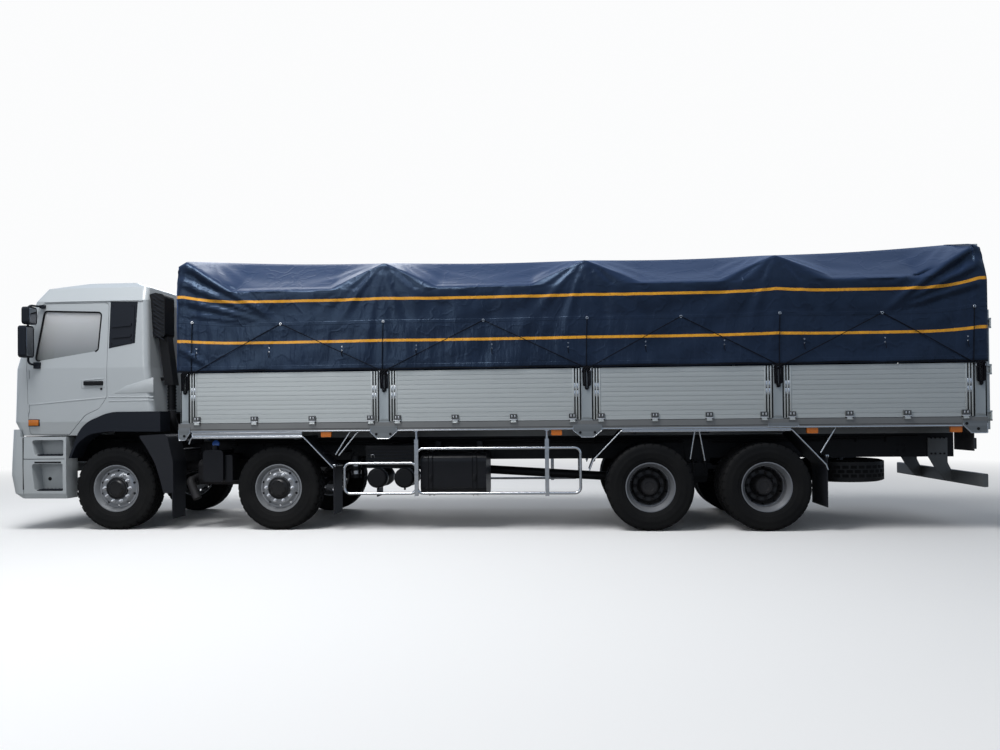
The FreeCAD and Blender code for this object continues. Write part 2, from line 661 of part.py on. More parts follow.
def arch_flare(side):
    """Moulded edge round the wheel arch, riding with the cab."""
    outer = [(3935, 1600), (5300, 1600), (5300, 915), (5112, 915), (5030, 1105, 260), (4865, 1222, 300),
             (4640, 1252, 500), (3935, 1246)]
    y_low, y_high = sorted((side * 1000, side * 1240))
    skin = prism(outer, "y", y_low, y_high).common(arch_cut(-SEAT_GAP))
    inner = [(3960, 1476), (4588, 1476, 560), (4936, 1332, 200), (4990, 1216), (4874, 1256, 200),
             (4642, 1280, 400), (3960, 1272)]
    hollow = prism(inner, "y", *sorted((side * 990, side * 1205)))
    return without(skin, hollow)


def quarter_panel(side):
    """Ribbed panel on the cab's side behind the door."""
    y_low, y_high = sorted((side * 1080, side * 1400))
    outline = [(4300, 2370, 40), (4612, 2330, 40), (4612, 2880, 40), (4300, 2880, 40)]
    panel = cab_layer(-8, -SEAT_GAP).common(prism(outline, "y", y_low, y_high))
    ribs = []
    for low in (2450, 2590, 2730):
        rib = prism([(4330, low, 12), (4590, low - 20, 12), (4590, low + 30, 12), (4330, low + 40, 12)],
                    "y", y_low, y_high)
        ribs.append(cab_layer(-20, -7).common(rib))
    return joined(panel, *ribs)


def cab_trim():
    """Dark mouldings of the cab: wheel arches and quarter panels."""
    return group([arch_flare(1), arch_flare(-1), quarter_panel(1), quarter_panel(-1)])


SNORKEL_Y = (820.0, 1060.0)
BELLOWS_X = 3945.0
BELLOWS_Y = 930.0
BELLOWS_BOTTOM = 1520.0


def intake_snorkel():
    """Louvred air intake behind the cab with its duct down to the bellows."""
    y_low, y_high = SNORKEL_Y
    wall_x = CAB_REAR_X + 80
    head = prism([(3966, 2460, 40), (wall_x, 2460), (wall_x, 3000, 30), (4090, 3026, 30), (3966, 3000, 50)],
                 "y", y_low, y_high)
    slots = []
    for index in range(6):
        z = 2520 + 74 * index
        slots.append(prism([(3984, z), (4110, z + 40), (4110, z + 62), (3984, z + 22)], "y", y_high - 12, y_high + 2))
    duct = prism([(BELLOWS_X - 58, 1840), (BELLOWS_X + 58, 1840), (4080, 2470), (3966, 2470)],
                 "y", BELLOWS_Y - 70, BELLOWS_Y + 70)
    bellows = [rod((BELLOWS_X, BELLOWS_Y, BELLOWS_BOTTOM), (BELLOWS_X, BELLOWS_Y, 1845), 48)]
    for index in range(8):
        z = BELLOWS_BOTTOM + 4 + 40 * index
        bellows.append(rod((BELLOWS_X, BELLOWS_Y, z), (BELLOWS_X, BELLOWS_Y, z + 22), 56))
    stay = block((BELLOWS_X, wall_x), (BELLOWS_Y - 20, BELLOWS_Y + 20), (1905, 1945))
    return without(joined(without(head, *slots), duct, *bellows, stay), cab_volume(-SEAT_GAP))


def intake_pipe():
    """Fixed pipe from under the bellows to the frame rail."""
    x, y, z = BELLOWS_X, BELLOWS_Y, BELLOWS_BOTTOM - 5
    return bent_tube([(x, y, z), (x, y, 1400), (x, 640, 1085), (x, RAIL_Y, 1085)], 50, 90)


# Bumper sections: height, side front x, middle front x, half width
FRONT_APEX = FRONT_X + 55.5
CAB_TO_BUMPER = 9.0
BUMPER_SECTIONS = ((404.0, 5820.0, 6020.0, 1205.0), (470.0, 5905.0, 6105.0, 1228.0),
                   (700.0, 5945.0, FRONT_APEX, 1236.0), (860.0, 5940.0, FRONT_APEX, 1236.0),
                   (1285.0, 5925.0, 6120.0, 1228.0))
BUMPER_WALL = 45.0
BUMPER_TOP = 1190.0
BUMPER_REAR_X = 5180.0
STEP_FRONT_X = 5745.0


def bumper_volume(inset):
    wires = []
    for z, side_x, middle_x, half in BUMPER_SECTIONS:
        corner = 130 - inset
        points = [(BUMPER_REAR_X, -half + inset), (side_x - inset, -half + inset, corner),
                  (middle_x - inset, 0, 4500), (side_x - inset, half - inset, corner),
                  (BUMPER_REAR_X, half - inset)]
        wires.append(Part.Wire(rounded_edges(corner_list(points, lambda a, b, h=z: vec(a, b, h)), True)))
    return Part.makeLoft(wires, True, True)


def step_recesses(side):
    """Two footholds cut into the step housing."""
    y = sorted((side * 1060, side * 1300))
    upper = prism([(5590, 945, 40), (5215, 945, 20), (5215, 1150, 20), (5640, 1150, 30)], "y", y[0], y[1])
    lower = prism([(5600, 500, 30), (5225, 500, 20), (5225, 850, 20), (5640, 850, 40)], "y", y[0], y[1])
    return [upper, lower]


def front_bumper():
    """Wrapped bumper skin, step housings behind its corners, and the beam that carries it."""
    skin = without(bumper_volume(0), bumper_volume(BUMPER_WALL))
    above_nose = block((5000, 6300), (-1000, 1000), (BUMPER_TOP, 1400))
    behind_corners = [block((BUMPER_REAR_X - 5, 5790), sorted((s * 990, s * 1300)), (BUMPER_TOP, 1400))
                      for s in (1, -1)]
    skin = without(skin, above_nose, *behind_corners)
    housings = []
    for side in (1, -1):
        housing = bumper_volume(0).common(block((BUMPER_REAR_X, STEP_FRONT_X + 20),
                                                sorted((side * 1000, side * 1300)), (404, BUMPER_TOP)))
        housings.append(housing)
    beam = block((5700, 5900), (-1010, 1010), (690, 800))
    arms = [block((RAIL_FRONT_X, 6050), sorted((s * (RAIL_Y - RAIL_FLANGE), s * RAIL_Y)), (835, 930))
            for s in (1, -1)]
    posts = [block((5760, 5840), sorted((s * (RAIL_Y - RAIL_FLANGE), s * RAIL_Y)), (790, 840)) for s in (1, -1)]
    body = joined(skin, *housings, beam, *arms, *posts)
    seams = []
    for side in (1, -1):
        y = sorted((side * 1212, side * 1300))
        seams.append(prism([(STEP_FRONT_X, 380), (STEP_FRONT_X + 7, 380), (STEP_FRONT_X + 20, 1300),
                            (STEP_FRONT_X + 13, 1300)], "y", y[0], y[1]))
    mouth = prism([(-520, 560, 40), (520, 560, 40), (520, 780, 40), (-520, 780, 40)], "x", 6000, 6200)
    lamp_holes = [headlamp_space(s, 0) for s in (1, -1)]
    recesses = [recess for s in (1, -1) for recess in step_recesses(s)]
    return without(body, *seams, *recesses, mouth, *lamp_holes, *cab_sweep())


def cab_sweep():
    """Room the cab's lower front corners take up, at rest and as the cab begins to tilt."""
    nose = cab_volume(-CAB_TO_BUMPER).common(block((5500, 6200), (-1300, 1300), (1100, 1400)))
    room = []
    for angle in (0, 6, 12):
        turned_nose = nose.copy()
        turned_nose.rotate(vec(TILT_X, 0, TILT_Z), vec(0, 1, 0), angle)
        room.append(turned_nose)
    return room


def headlamp_space(side, gap):
    """Outline of one headlamp through the bumper skin."""
    y = sorted((side * (1110 - gap), side * (730 + gap)))
    return prism([(y[0], 880 + gap, 40), (y[1], 880 + gap, 40), (y[1], 1060 - gap, 40), (y[0], 1060 - gap, 40)],
                 "x", 5800, 6200)


def bent_plate(points, thickness, y_low, y_high):
    """Plate of even thickness along an XZ line with rounded bends."""
    path = Part.Wire(rounded_edges(corner_list(points, lambda a, b: vec(a, y_low, b)), False))
    section = path.makeOffset2D(thickness, fill=True, openResult=True)
    return section.extrude(vec(0, y_high - y_low, 0))


def fuel_tank():
    """Rounded tank on two brackets with its straps."""
    low, high = 425, 950
    near, far = 560, 1110
    outline = [(near, low, 70), (far, low, 110), (far, high, 110), (near, high, 70)]
    tank = prism(outline, "x", -165, 655)
    parts = [tank]
    for x in (-20, 530):
        ring = [(near - 5, low - 5, 74), (far + 5, low - 5, 114), (far + 5, high + 5, 114), (near - 5, high + 5, 74)]
        parts.append(prism(ring, "x", x - 30, x + 30))
        parts.append(block((x - 35, x + 35), (RAIL_Y, near), (low + 60, RAIL_TOP - 60)))
    neck = rod((560, 820, high - 4), (560, 820, high + 50), 48)
    return joined(*parts, neck)


def air_tanks():
    """Two air tanks hung from the battery tray, and the air dryer on its bracket."""
    radius = 125
    tray_z = 762
    parts = []
    for x in (1220, 877):
        body = rod((x, 560, tray_z - radius), (x, 1070, tray_z - radius), radius)
        parts.append(body.makeFillet(30, [e for e in body.Edges if e.Curve.TypeId == "Part::GeomCircle"]))
        parts.append(rod((x, 1000, tray_z - 2 * radius - 28), (x, 1000, tray_z - 2 * radius + 6), 12))
    tray = block((760, 1360), (RAIL_Y, 1000), (tray_z - 4, tray_z + 12))
    hanger = block((1000, 1100), (RAIL_Y, RAIL_Y + 14), (tray_z, RAIL_TOP - 100))
    dryer = rod((1543, 850, 627), (1543, 850, 905), 64)
    dryer_arm = block((1515, 1571), (RAIL_Y, 850), (860, 884))
    return group([joined(*parts, tray, hanger), joined(dryer, dryer_arm)])


def battery_box():
    """Battery box on the same tray, its lid held by two clips."""
    low, high = 774 + SEAT_GAP, 1064
    body = prism([(RAIL_Y + 80, low), (1010, low, 20), (1010, high, 40), (RAIL_Y + 80, high, 20)], "x", 744, 1370)
    lip = prism([(RAIL_Y + 74, high - 70), (1016, high - 70), (1016, high - 58), (RAIL_Y + 74, high - 58)],
                "x", 738, 1376)
    return joined(body, lip)


def urea_tank():
    """Tank for the exhaust fluid, with its filler cap and bracket, and the module box behind."""
    tank = prism([(3165, 604, 40), (3426, 604, 40), (3426, 1005, 50), (3165, 1005, 50)], "y", 880, 1150)
    cap = rod((3310, 1060, 1000), (3310, 1060, 1062), 46)
    arm = block((3250, 3340), (RAIL_Y, 885), (890, 940))
    module = prism([(3064, 602, 20), (3160, 602), (3160, 940), (3064, 940, 20)], "y", 880, 1100)
    return joined(tank, cap, arm, module, block((3150, 3170), (900, 1090), (640, 900)))


def exhaust():
    """Silencer between the front wheels with its tailpipe turned out and down."""
    body = prism([(470, 540, 80), (840, 540, 80), (840, 866, 80), (470, 866, 80)], "x", 3100, 3640)
    pipe = bent_tube([(3600, 700, 640), (3690, 700, 640), (3690, 960, 600), (3570, 1010, 380)], 52, 60)
    bracket = block((3360, 3450), (RAIL_Y, 475), (700, 1000))
    return joined(body, pipe, bracket)


def guard_loop(x_front, x_rear, low, high, y):
    """Closed loop of tube with rounded corners."""
    middle = (x_front + x_rear) / 2
    halves = [bent_tube([(middle, y, low), (end, y, low), (end, y, high), (middle, y, high)], 17, 70)
              for end in (x_front, x_rear)]
    return joined(*halves)


def side_guard():
    """Two tube loops on flat posts that hang from round stems under the sill."""
    y = 1195
    parts = [guard_loop(1590, 692, 457, 830, y), guard_loop(678, -1325, 457, 1008, y)]
    for x in (685, -920):
        parts.append(block((x - 24, x + 24), (y + 4, y + 24), (425, 1120)))
        parts.append(rod((x, y + 8, 1100), (x, y + 8, SILL_BOTTOM), 17))
        parts.append(block((x - 26, x + 26), (y - 20, y + 34), (SILL_BOTTOM - 10, SILL_BOTTOM)))
    return joined(*parts)


def side_guards():
    return group(both_sides(side_guard()))


# Mudguard outlines in XZ
MUDGUARD_WALL = 6.0
GUARD_TUBE = 20.0


def second_mudguard():
    """Bright guard over the second axle with its flap and the stays up to the frame."""
    x = AXLE_X[2]
    top = 1172
    outline = [(x + 1110, 1085), (x + 1080, top, 60), (x - 345, top, 60), (x - 728, 778)]
    plate = bent_plate(outline, MUDGUARD_WALL, 880, 1238)
    flap = block((x - 740, x - 728), (890, 1230), (205, 812))
    tubes = [rod((px, RAIL_Y, top - 22), (px, 1225, top - 22), GUARD_TUBE) for px in (x + 900, x - 250)]
    drops = [block((px - 20, px + 20), (RAIL_Y, RAIL_Y + 12), (1050, top - 10)) for px in (x + 900, x - 250)]
    stay = rod((x - 560, 1100, 955), (x - 720, RAIL_Y + 6, 955), GUARD_TUBE - 4)
    return joined(plate, flap, *tubes, *drops, stay)


def rear_mudguard():
    """Bright guard over both driven axles with its flap and stays."""
    top = 1212
    front, rear = AXLE_X[3] + 730, AXLE_X[4] - 680
    outline = [(front, 730), (front - 50, 860, 60), (front - 390, top, 80), (rear + 395, top, 80),
               (rear, 790, 60), (rear - 20, 730)]
    plate = bent_plate(outline, MUDGUARD_WALL, 640, 1238)
    flap = block((rear - 22, rear - 10), (650, 1230), (285, 900))
    xs = (AXLE_X[3] + 180, (AXLE_X[3] + AXLE_X[4]) / 2, AXLE_X[4] - 180)
    tubes = [rod((px, RAIL_Y, top - 24), (px, 1225, top - 24), GUARD_TUBE) for px in xs]
    ends = [rod((front - 60, 1100, 850), (front - 60, RAIL_Y + 6, 850), GUARD_TUBE - 4),
            rod((rear + 30, 1100, 850), (rear + 30, RAIL_Y, 850), GUARD_TUBE - 4)]
    return joined(plate, flap, *tubes, *ends)


def first_mudguard():
    """Moulded guard behind the first wheel, with its flap."""
    x = AXLE_X[1]
    outline = [(x - 350, 1195, 15), (x - 720, 1215, 60), (x - 800, 860, 300), (x - 800, 475),
               (x - 675, 470), (x - 630, 640, 500), (x - 565, 850, 500), (x - 460, 1035, 400)]
    body = prism(outline, "y", 900, 1240)
    hollow = prism([(x - 405, 1173, 10), (x - 700, 1190, 40), (x - 776, 860, 300), (x - 776, 498),
                    (x - 698, 495), (x - 656, 645, 450), (x - 590, 862, 450), (x - 485, 1050, 350)],
                   "y", 890, 1215)
    flap = block((x - 790, x - 778), (910, 1230), (150, 500))
    arm = rod((x - 740, RAIL_Y, 1000), (x - 740, 1215, 1000), GUARD_TUBE)
    return joined(without(body, hollow), flap, arm)


def mudguards():
    sets = [first_mudguard(), second_mudguard(), rear_mudguard()]
    return group([side for piece in sets for side in both_sides(piece)])


def spare_wheel():
    """Spare lying under the frame on its carrier."""
    x, z = -4790, 655
    flat_tyre = tyre(0, 0).translated(vec(0, 0, -TYRE_RADIUS))
    disc = wheel_disc(0, 60 + DISC_CROWN, -1, DISC_CROWN, WELL_REACH)
    flat_rim = joined(rim_barrel(0, 0), disc).translated(vec(0, 0, -TYRE_RADIUS))
    laid = []
    for shape in (flat_tyre, flat_rim):
        shape.rotate(vec(0, 0, 0), vec(1, 0, 0), 90)
        laid.append(shape.translated(vec(x, 0, z)))
    post = rod((x, 0, z + 58), (x, 0, RAIL_TOP - 190), 32)
    clamp = rod((x, 0, z + 58), (x, 0, z + 60 + DISC_CROWN - DISC_WALL), 175)
    beam = block((x - 70, x + 70), (-RAIL_Y + RAIL_WEB, RAIL_Y - RAIL_WEB), (RAIL_TOP - 200, RAIL_TOP - 170))
    return group([laid[0], joined(laid[1], post, clamp, beam)])


def underrun_bar():
    """Rear beam on two curved plates bolted to the rails."""
    beam = prism([(-6062, 515, 14), (-6002, 515, 14), (-6002, 672, 14), (-6062, 672, 14)], "y", -1200, 1200)
    outline = [(-5720, RAIL_BOTTOM + 8), (-5720, RAIL_TOP - 60), (-5960, RAIL_TOP - 60), (-5960, 760, 60),
               (-6002, 672), (-6002, 540), (-5940, 520, 40), (-5800, 700, 150)]
    parts = [beam]
    for side in (1, -1):
        y = sorted((side * (RAIL_Y + SEAT_GAP), side * (RAIL_Y + 14)))
        parts.append(prism(outline, "y", y[0], y[1]))
    return joined(*parts)


def lamps():
    """Headlamps, side marker lamps under the sill and the rear lamp clusters."""
    pieces = []
    for side in (1, -1):
        lens = without(bumper_volume(3), bumper_volume(BUMPER_WALL - 5))
        pieces.append(lens.common(headlamp_space(side, SEAT_GAP)))
        for x in (1807, -1040, -4057, -5693):
            y = sorted((side * 1205, side * 1243))
            pieces.append(prism([(x - 64, 1160, 12), (x + 64, 1160, 12), (x + 64, SILL_BOTTOM), (x - 64, SILL_BOTTOM)],
                                "y", y[0], y[1]))
        y = sorted((side * 760, side * 1160))
        cluster = block((-5956, -5900), y, (960, 1090))
        plate = block((-5900, -5890), sorted((side * 760, side * 1225)), (940, SILL_BOTTOM))
        pieces.append(joined(cluster, plate))
    return group(pieces)


def bay(index):
    """Rear and front x of the opening between two posts, counted from the front."""
    front = POST_X[index] - POST_WIDTH[index] / 2
    rear = POST_X[index + 1] + POST_WIDTH[index + 1] / 2
    return rear + BOARD_GAP, front - BOARD_GAP


def hinge_places(index):
    low, high = bay(index)
    margin = 90.0
    step = (high - low - 2 * margin) / (HINGES_PER_BOARD - 1)
    return [low + margin + step * n for n in range(HINGES_PER_BOARD)]


HINGE_LENGTH = 60.0
HINGE_LUG = 12.0


def cargo_bed():
    """Deck on its bearers with sills, posts, front wall, rear frame and hinge lugs."""
    inner_y = HALF_WIDTH - POST_THICKNESS
    rear, front = BODY_REAR_X, BODY_FRONT_X
    bearer_low = SILL_BOTTOM
    deck = block((rear, front), (-inner_y, inner_y), (DECK_TOP - DECK_THICKNESS, DECK_TOP))
    parts = [deck]
    standing = [rear_frame()]
    for side in (1, -1):
        parts.append(block((rear, front), sorted((side * inner_y, side * HALF_WIDTH)), (SILL_BOTTOM, DECK_TOP)))
        parts.append(block((rear, RAIL_FRONT_X - 1990), sorted((side * (RAIL_Y - RAIL_FLANGE), side * RAIL_Y)),
                           (RAIL_TOP, bearer_low)))
    pitch = (front - rear - 160) / 19
    for n in range(20):
        x = rear + 80 + pitch * n
        parts.append(block((x - 35, x + 35), (-inner_y, inner_y), (bearer_low, DECK_TOP - DECK_THICKNESS)))
    for x, width in zip(POST_X[:-1], POST_WIDTH):
        for side in (1, -1):
            y = sorted((side * inner_y, side * HALF_WIDTH))
            standing.append(block((x - width / 2, x + width / 2), y, (DECK_TOP - POST_SEAT, BOARD_TOP + 8)))
    standing.append(block((front - 46, front), (-inner_y, inner_y), (DECK_TOP - POST_SEAT, BOARD_TOP + 8)))
    fittings = [side for piece in sill_fittings() for side in both_sides(piece)]
    return group([without(joined(*parts, *fittings), *standing), *standing])


def rear_frame():
    """Rear posts joined over the doors, with the lugs of the door hinges."""
    x = (POST_X[-1] - POST_WIDTH[-1] / 2, POST_X[-1] + POST_WIDTH[-1] / 2)
    inner_y = HALF_WIDTH - POST_THICKNESS
    parts = [block(x, (-HALF_WIDTH, HALF_WIDTH), (REAR_FRAME_TOP - REAR_HEADER, REAR_FRAME_TOP))]
    clear = 40 + SEAT_GAP
    for side in (1, -1):
        parts.append(block(x, sorted((side * inner_y, side * HALF_WIDTH)), (SILL_BOTTOM, REAR_FRAME_TOP)))
        lug_y = sorted((side * (REAR_HINGE_Y - 8), side * (REAR_HINGE_Y + 8)))
        for z in door_hinge_heights():
            for low in (z - clear - 20, z + clear):
                parts.append(block((REAR_HINGE_X - 8, POST_X[-1]), lug_y, (low, low + 20)))
    return joined(*parts)


def sill_fittings():
    """Gusset plates under the posts and the boards' hinge lugs, for the left side."""
    plate = (HALF_WIDTH - 1, HALF_WIDTH + 5)
    fittings = [prism([(3688, 1128), (3688, 1300), (3536, 1300), (3536, 1220), (3600, 1128)], "y", *plate),
                prism([(1250, 1300), (1250, 1215), (1162, 1131), (1013, 1131), (911, 1215), (911, 1300)], "y", *plate),
                prism([(-1236, 1300), (-1236, 1215), (-1345, 1131), (-1489, 1131), (-1590, 1215), (-1590, 1300)],
                      "y", *plate),
                prism([(-3538, 1300), (-3538, 1236), (-3900, 1236), (-3900, 1300)], "y", *plate),
                prism([(-5757, 1300), (-5757, 1240), (-5850, 1148), (-6038, 1148), (-6038, 1300)], "y", *plate)]
    clear = HINGE_LENGTH / 2 + SEAT_GAP
    for index in range(len(POST_X) - 1):
        for x in hinge_places(index):
            for low in (x - clear - HINGE_LUG, x + clear):
                fittings.append(block((low, low + HINGE_LUG), (HALF_WIDTH - 1, HINGE_Y + HINGE_RADIUS),
                                      (HINGE_Z - HINGE_LUG, HINGE_Z + HINGE_LUG)))
    return fittings


def side_board(index, side):
    """Ribbed dropside between two posts with its hinge straps and knuckles."""
    low_x, high_x = bay(index)
    low_z, high_z = DECK_TOP + BOARD_GAP, BOARD_TOP
    inner = BOARD_OUTER_Y - BOARD_THICKNESS
    pitch = (high_z - low_z) / BOARD_RIBS
    profile = [(inner, high_z), (inner, low_z)]
    for n in range(BOARD_RIBS):
        z = low_z + n * pitch
        profile += [(BOARD_OUTER_Y, z), (BOARD_OUTER_Y, z + pitch * 0.8),
                    (BOARD_OUTER_Y - BOARD_RIB_DEPTH, z + pitch * 0.84),
                    (BOARD_OUTER_Y - BOARD_RIB_DEPTH, z + pitch)]
    parts = [prism(profile, "x", low_x, high_x)]
    for x in hinge_places(index):
        half = HINGE_LENGTH / 2
        parts.append(rod((x - half, HINGE_Y, HINGE_Z), (x + half, HINGE_Y, HINGE_Z), HINGE_RADIUS))
        strap = [(BOARD_OUTER_Y - BOARD_RIB_DEPTH, low_z + 75), (BOARD_OUTER_Y + 6, low_z + 75),
                 (HINGE_Y + 6, low_z), (HINGE_Y + 6, HINGE_Z), (HINGE_Y - 6, HINGE_Z),
                 (HINGE_Y - 6, low_z - 4), (BOARD_OUTER_Y - BOARD_RIB_DEPTH, low_z + 2)]
        parts.append(prism(strap, "x", x - half, x + half))
    board = joined(*parts)
    return board if side > 0 else mirrored(board)


REAR_HINGE_X = -6085.0
REAR_HINGE_Y = 1243.0
REAR_LEAF_EDGE = 1221.0
ROD_RADIUS = 8.0


def door_hinge_heights():
    return (DOOR_LEAF_BOTTOM + 160, (DOOR_LEAF_BOTTOM + DOOR_LEAF_TOP) / 2, DOOR_LEAF_TOP - 160)


def rear_door(side):
    """Rear door leaf with its frame, lock rods and hinge knuckles."""
    rear = REAR_HINGE_X + 2
    front = rear + DOOR_LEAF
    low, high = DOOR_LEAF_BOTTOM, DOOR_LEAF_TOP
    leaf = block((rear, front), (3, REAR_LEAF_EDGE), (low, high))
    panels = []
    for z_low, z_high in ((low + 60, (low + high) / 2 - 25), ((low + high) / 2 + 25, high - 60)):
        panels.append(block((rear - 1, rear + 8), (60, REAR_LEAF_EDGE - 60), (z_low, z_high)))
    parts = [without(leaf, *panels)]
    for z in door_hinge_heights():
        parts.append(rod((REAR_HINGE_X, REAR_HINGE_Y, z - 40), (REAR_HINGE_X, REAR_HINGE_Y, z + 40), 9))
        parts.append(block((REAR_HINGE_X - 4, REAR_HINGE_X + 6), (REAR_LEAF_EDGE - 40, REAR_HINGE_Y), (z - 40, z + 40)))
    rod_x = rear - ROD_RADIUS - 1
    for y in (330.0, 1130.0):
        parts.append(rod((rod_x, y, low - 8), (rod_x, y, high + 4), ROD_RADIUS))
        for z in (low + 30, (low + high) / 2, high - 30):
            parts.append(block((rod_x - 7, rear + 2), (y - 22, y + 22), (z - 16, z + 16)))
    door = joined(*parts)
    return door if side > 0 else mirrored(door)


def ridge_heights():
    return [z + RIDGE_RISE for z in BOW_CORNER_Z]


def tarp_outline(corner_z, ridge_z, inset):
    """Section across the tarpaulin in YZ, drawn in by inset."""
    half, corner_y = TARP_HALF_WIDTH - inset, BOW_CORNER_Y - inset
    crown_y = 600.0
    right = [(half, TARP_BOTTOM), (half, TARP_SHOULDER - inset / 2), (corner_y, corner_z - inset),
             (crown_y, ridge_z - 14 - inset)]
    return right + [(0, ridge_z - inset)] + [(-y, z) for y, z in reversed(right)]


def tarp_stations(inset):
    """Positions and heights of the sections from front to rear, flat over each bow."""
    ridges = ridge_heights()
    half_flat = HOOP_TUBE / 2 + 8
    stations = [(TARP_FRONT_X - inset, BOW_CORNER_Z[0], ridges[0])]
    last = len(POST_X) - 1
    for n, x in enumerate(POST_X):
        if n > 0:
            stations.append((x + half_flat, BOW_CORNER_Z[n], ridges[n]))
        if n < last:
            stations.append((x - half_flat, BOW_CORNER_Z[n], ridges[n]))
            for place in (x - PEAK_REACH, POST_X[n + 1] + PEAK_REACH):
                share = (x - place) / (x - POST_X[n + 1])
                ridge = ridges[n] * (1 - share) + ridges[n + 1] * share
                stations.append((place, SLOPE_FOOT, ridge - RIDGE_SAG))
    stations.append((TARP_REAR_X + inset, BOW_CORNER_Z[last], ridges[last]))
    return stations


def tarp_volume(inset, bottom_drop):
    wires = []
    for x, corner_z, ridge_z in tarp_stations(inset):
        outline = tarp_outline(corner_z, ridge_z, inset)
        outline[0] = (outline[0][0], TARP_BOTTOM - bottom_drop)
        outline[-1] = (outline[-1][0], TARP_BOTTOM - bottom_drop)
        points = [vec(x, y, z) for y, z in outline]
        wires.append(Part.makePolygon(points + [points[0]]))
    return Part.makeLoft(wires, True, True)


def tarpaulin():
    """Cover drawn over the bows, closed in front and above the rear doors, open below."""
    shell = without(tarp_volume(0, 0), tarp_volume(TARP_THICKNESS, 50))
    inside = TARP_HALF_WIDTH - TARP_THICKNESS
    doorway = block((TARP_REAR_X - 20, TARP_REAR_X + 20), (-inside, inside), (TARP_BOTTOM - 50, REAR_FRAME_TOP + 5))
    return without(shell, doorway)


def bow(n):
    """One hoop: legs on the posts and an arch up to the corner peaks."""
    x = POST_X[n]
    gap = TARP_THICKNESS + SEAT_GAP
    ridge = ridge_heights()[n]
    foot = REAR_FRAME_TOP if n == len(POST_X) - 1 else BOARD_TOP + 8
    outer = tarp_outline(BOW_CORNER_Z[n], ridge, gap)
    inner = tarp_outline(BOW_CORNER_Z[n], ridge, gap + HOOP_TUBE)
    for line in (outer, inner):
        line[0] = (line[0][0], foot)
        line[-1] = (line[-1][0], foot)
    return prism(outer + inner[::-1], "x", x - HOOP_TUBE / 2, x + HOOP_TUBE / 2)


def hoops():
    """Bows, with the shoulder rails and two rails under the crown fitted between them."""
    bows = [bow(n) for n in range(len(POST_X))]
    rails = []
    outer = TARP_HALF_WIDTH - TARP_THICKNESS - SEAT_GAP
    z = TARP_SHOULDER - 30
    crown = [(x, ridge - 14 - TARP_THICKNESS - HOOP_TUBE) for x, ridge in zip(POST_X, ridge_heights())]
    crown += [(x, top - 30) for x, top in reversed(crown)]
    for side in (1, -1):
        rails.append(block((POST_X[-1], POST_X[0]), sorted((side * (outer - HOOP_TUBE), side * outer)),
                           (z - HOOP_TUBE, z)))
        rails.append(prism(crown, "y", *sorted((side * 560, side * 600))))
    return group(bows + [piece for rail in rails for piece in without(rail, *bows).Solids])


def all_nodes():
    nodes = {"chassis_frame": chassis_frame(), "engine_block": engine_block(), "axles": axles(),
             "leaf_springs": springs(), "front_bumper": front_bumper(), "fuel_tank": fuel_tank(),
             "battery_and_air_tanks": group([air_tanks(), battery_box()]), "urea_tank": urea_tank(),
             "exhaust_and_intake_pipe": group([exhaust(), intake_pipe()]), "side_guards": side_guards(),
             "mudguards": mudguards(), "spare_wheel": spare_wheel(), "underrun_bar": underrun_bar(),
             "lamps": lamps(), "cargo_bed": cargo_bed(), "hoops": hoops(), "tarpaulin": tarpaulin(),
             "cab_shell": cab_shell(), "windscreen": windscreen(), "front_grille": front_grille(),
             "cab_interior": cab_interior(), "cab_trim": cab_trim(), "intake_snorkel": intake_snorkel()}
    for name, side in (("left", 1), ("right", -1)):
        nodes["cab_door_" + name] = cab_door(side)
        nodes["door_glass_" + name] = door_glass(side)
        nodes["mirror_" + name] = mirror(side)
        nodes["rear_door_" + name] = rear_door(side)
        for index in range(len(POST_X) - 1):
            nodes["side_board_%s_%d" % (name, index + 1)] = side_board(index, side)
        for number, x in AXLE_X.items():
            label = "%d_%s" % (number, name)
            if number in STEERED:
                nodes["knuckle_" + label] = knuckle(x, side)
                nodes["tyre_" + label] = tyre(x, side * STEER_TRACK_Y)
                nodes["rim_" + label] = steered_wheel(x, side)
            else:
                nodes["tyre_" + label] = twin_tyres(x, side)
                nodes["rim_" + label] = twin_wheel(x, side)
    return nodes


os.makedirs("parts", exist_ok=True)
for node, shape in all_nodes().items():
    shape.exportStep("parts/%s.step" % node)
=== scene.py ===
"""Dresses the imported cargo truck: finishes, tyres, tarpaulin, cab details and the photo's view."""

import logging
from dataclasses import dataclass
from enum import Enum
from math import atan2, cos, exp, hypot, pi, radians, sin, tan
from typing import Callable, Optional, Sequence

import bmesh
import bpy
from mathutils import Matrix, Vector


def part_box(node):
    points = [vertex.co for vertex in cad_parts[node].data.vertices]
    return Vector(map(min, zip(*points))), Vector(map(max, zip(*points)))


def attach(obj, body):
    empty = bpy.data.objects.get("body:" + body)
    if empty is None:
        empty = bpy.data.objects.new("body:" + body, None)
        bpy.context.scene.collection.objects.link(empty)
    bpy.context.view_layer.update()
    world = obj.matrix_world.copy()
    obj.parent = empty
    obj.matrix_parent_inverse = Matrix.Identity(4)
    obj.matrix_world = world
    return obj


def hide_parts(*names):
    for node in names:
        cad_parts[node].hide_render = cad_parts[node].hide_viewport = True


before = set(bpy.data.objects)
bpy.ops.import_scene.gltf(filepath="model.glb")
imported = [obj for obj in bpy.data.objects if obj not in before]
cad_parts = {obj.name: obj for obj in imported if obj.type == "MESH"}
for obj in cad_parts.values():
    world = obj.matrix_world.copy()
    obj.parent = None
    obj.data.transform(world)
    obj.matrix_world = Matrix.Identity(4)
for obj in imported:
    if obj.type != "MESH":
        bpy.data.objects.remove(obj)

logging.basicConfig(level=logging.INFO, format="%(message)s")
log = logging.getLogger("truck")

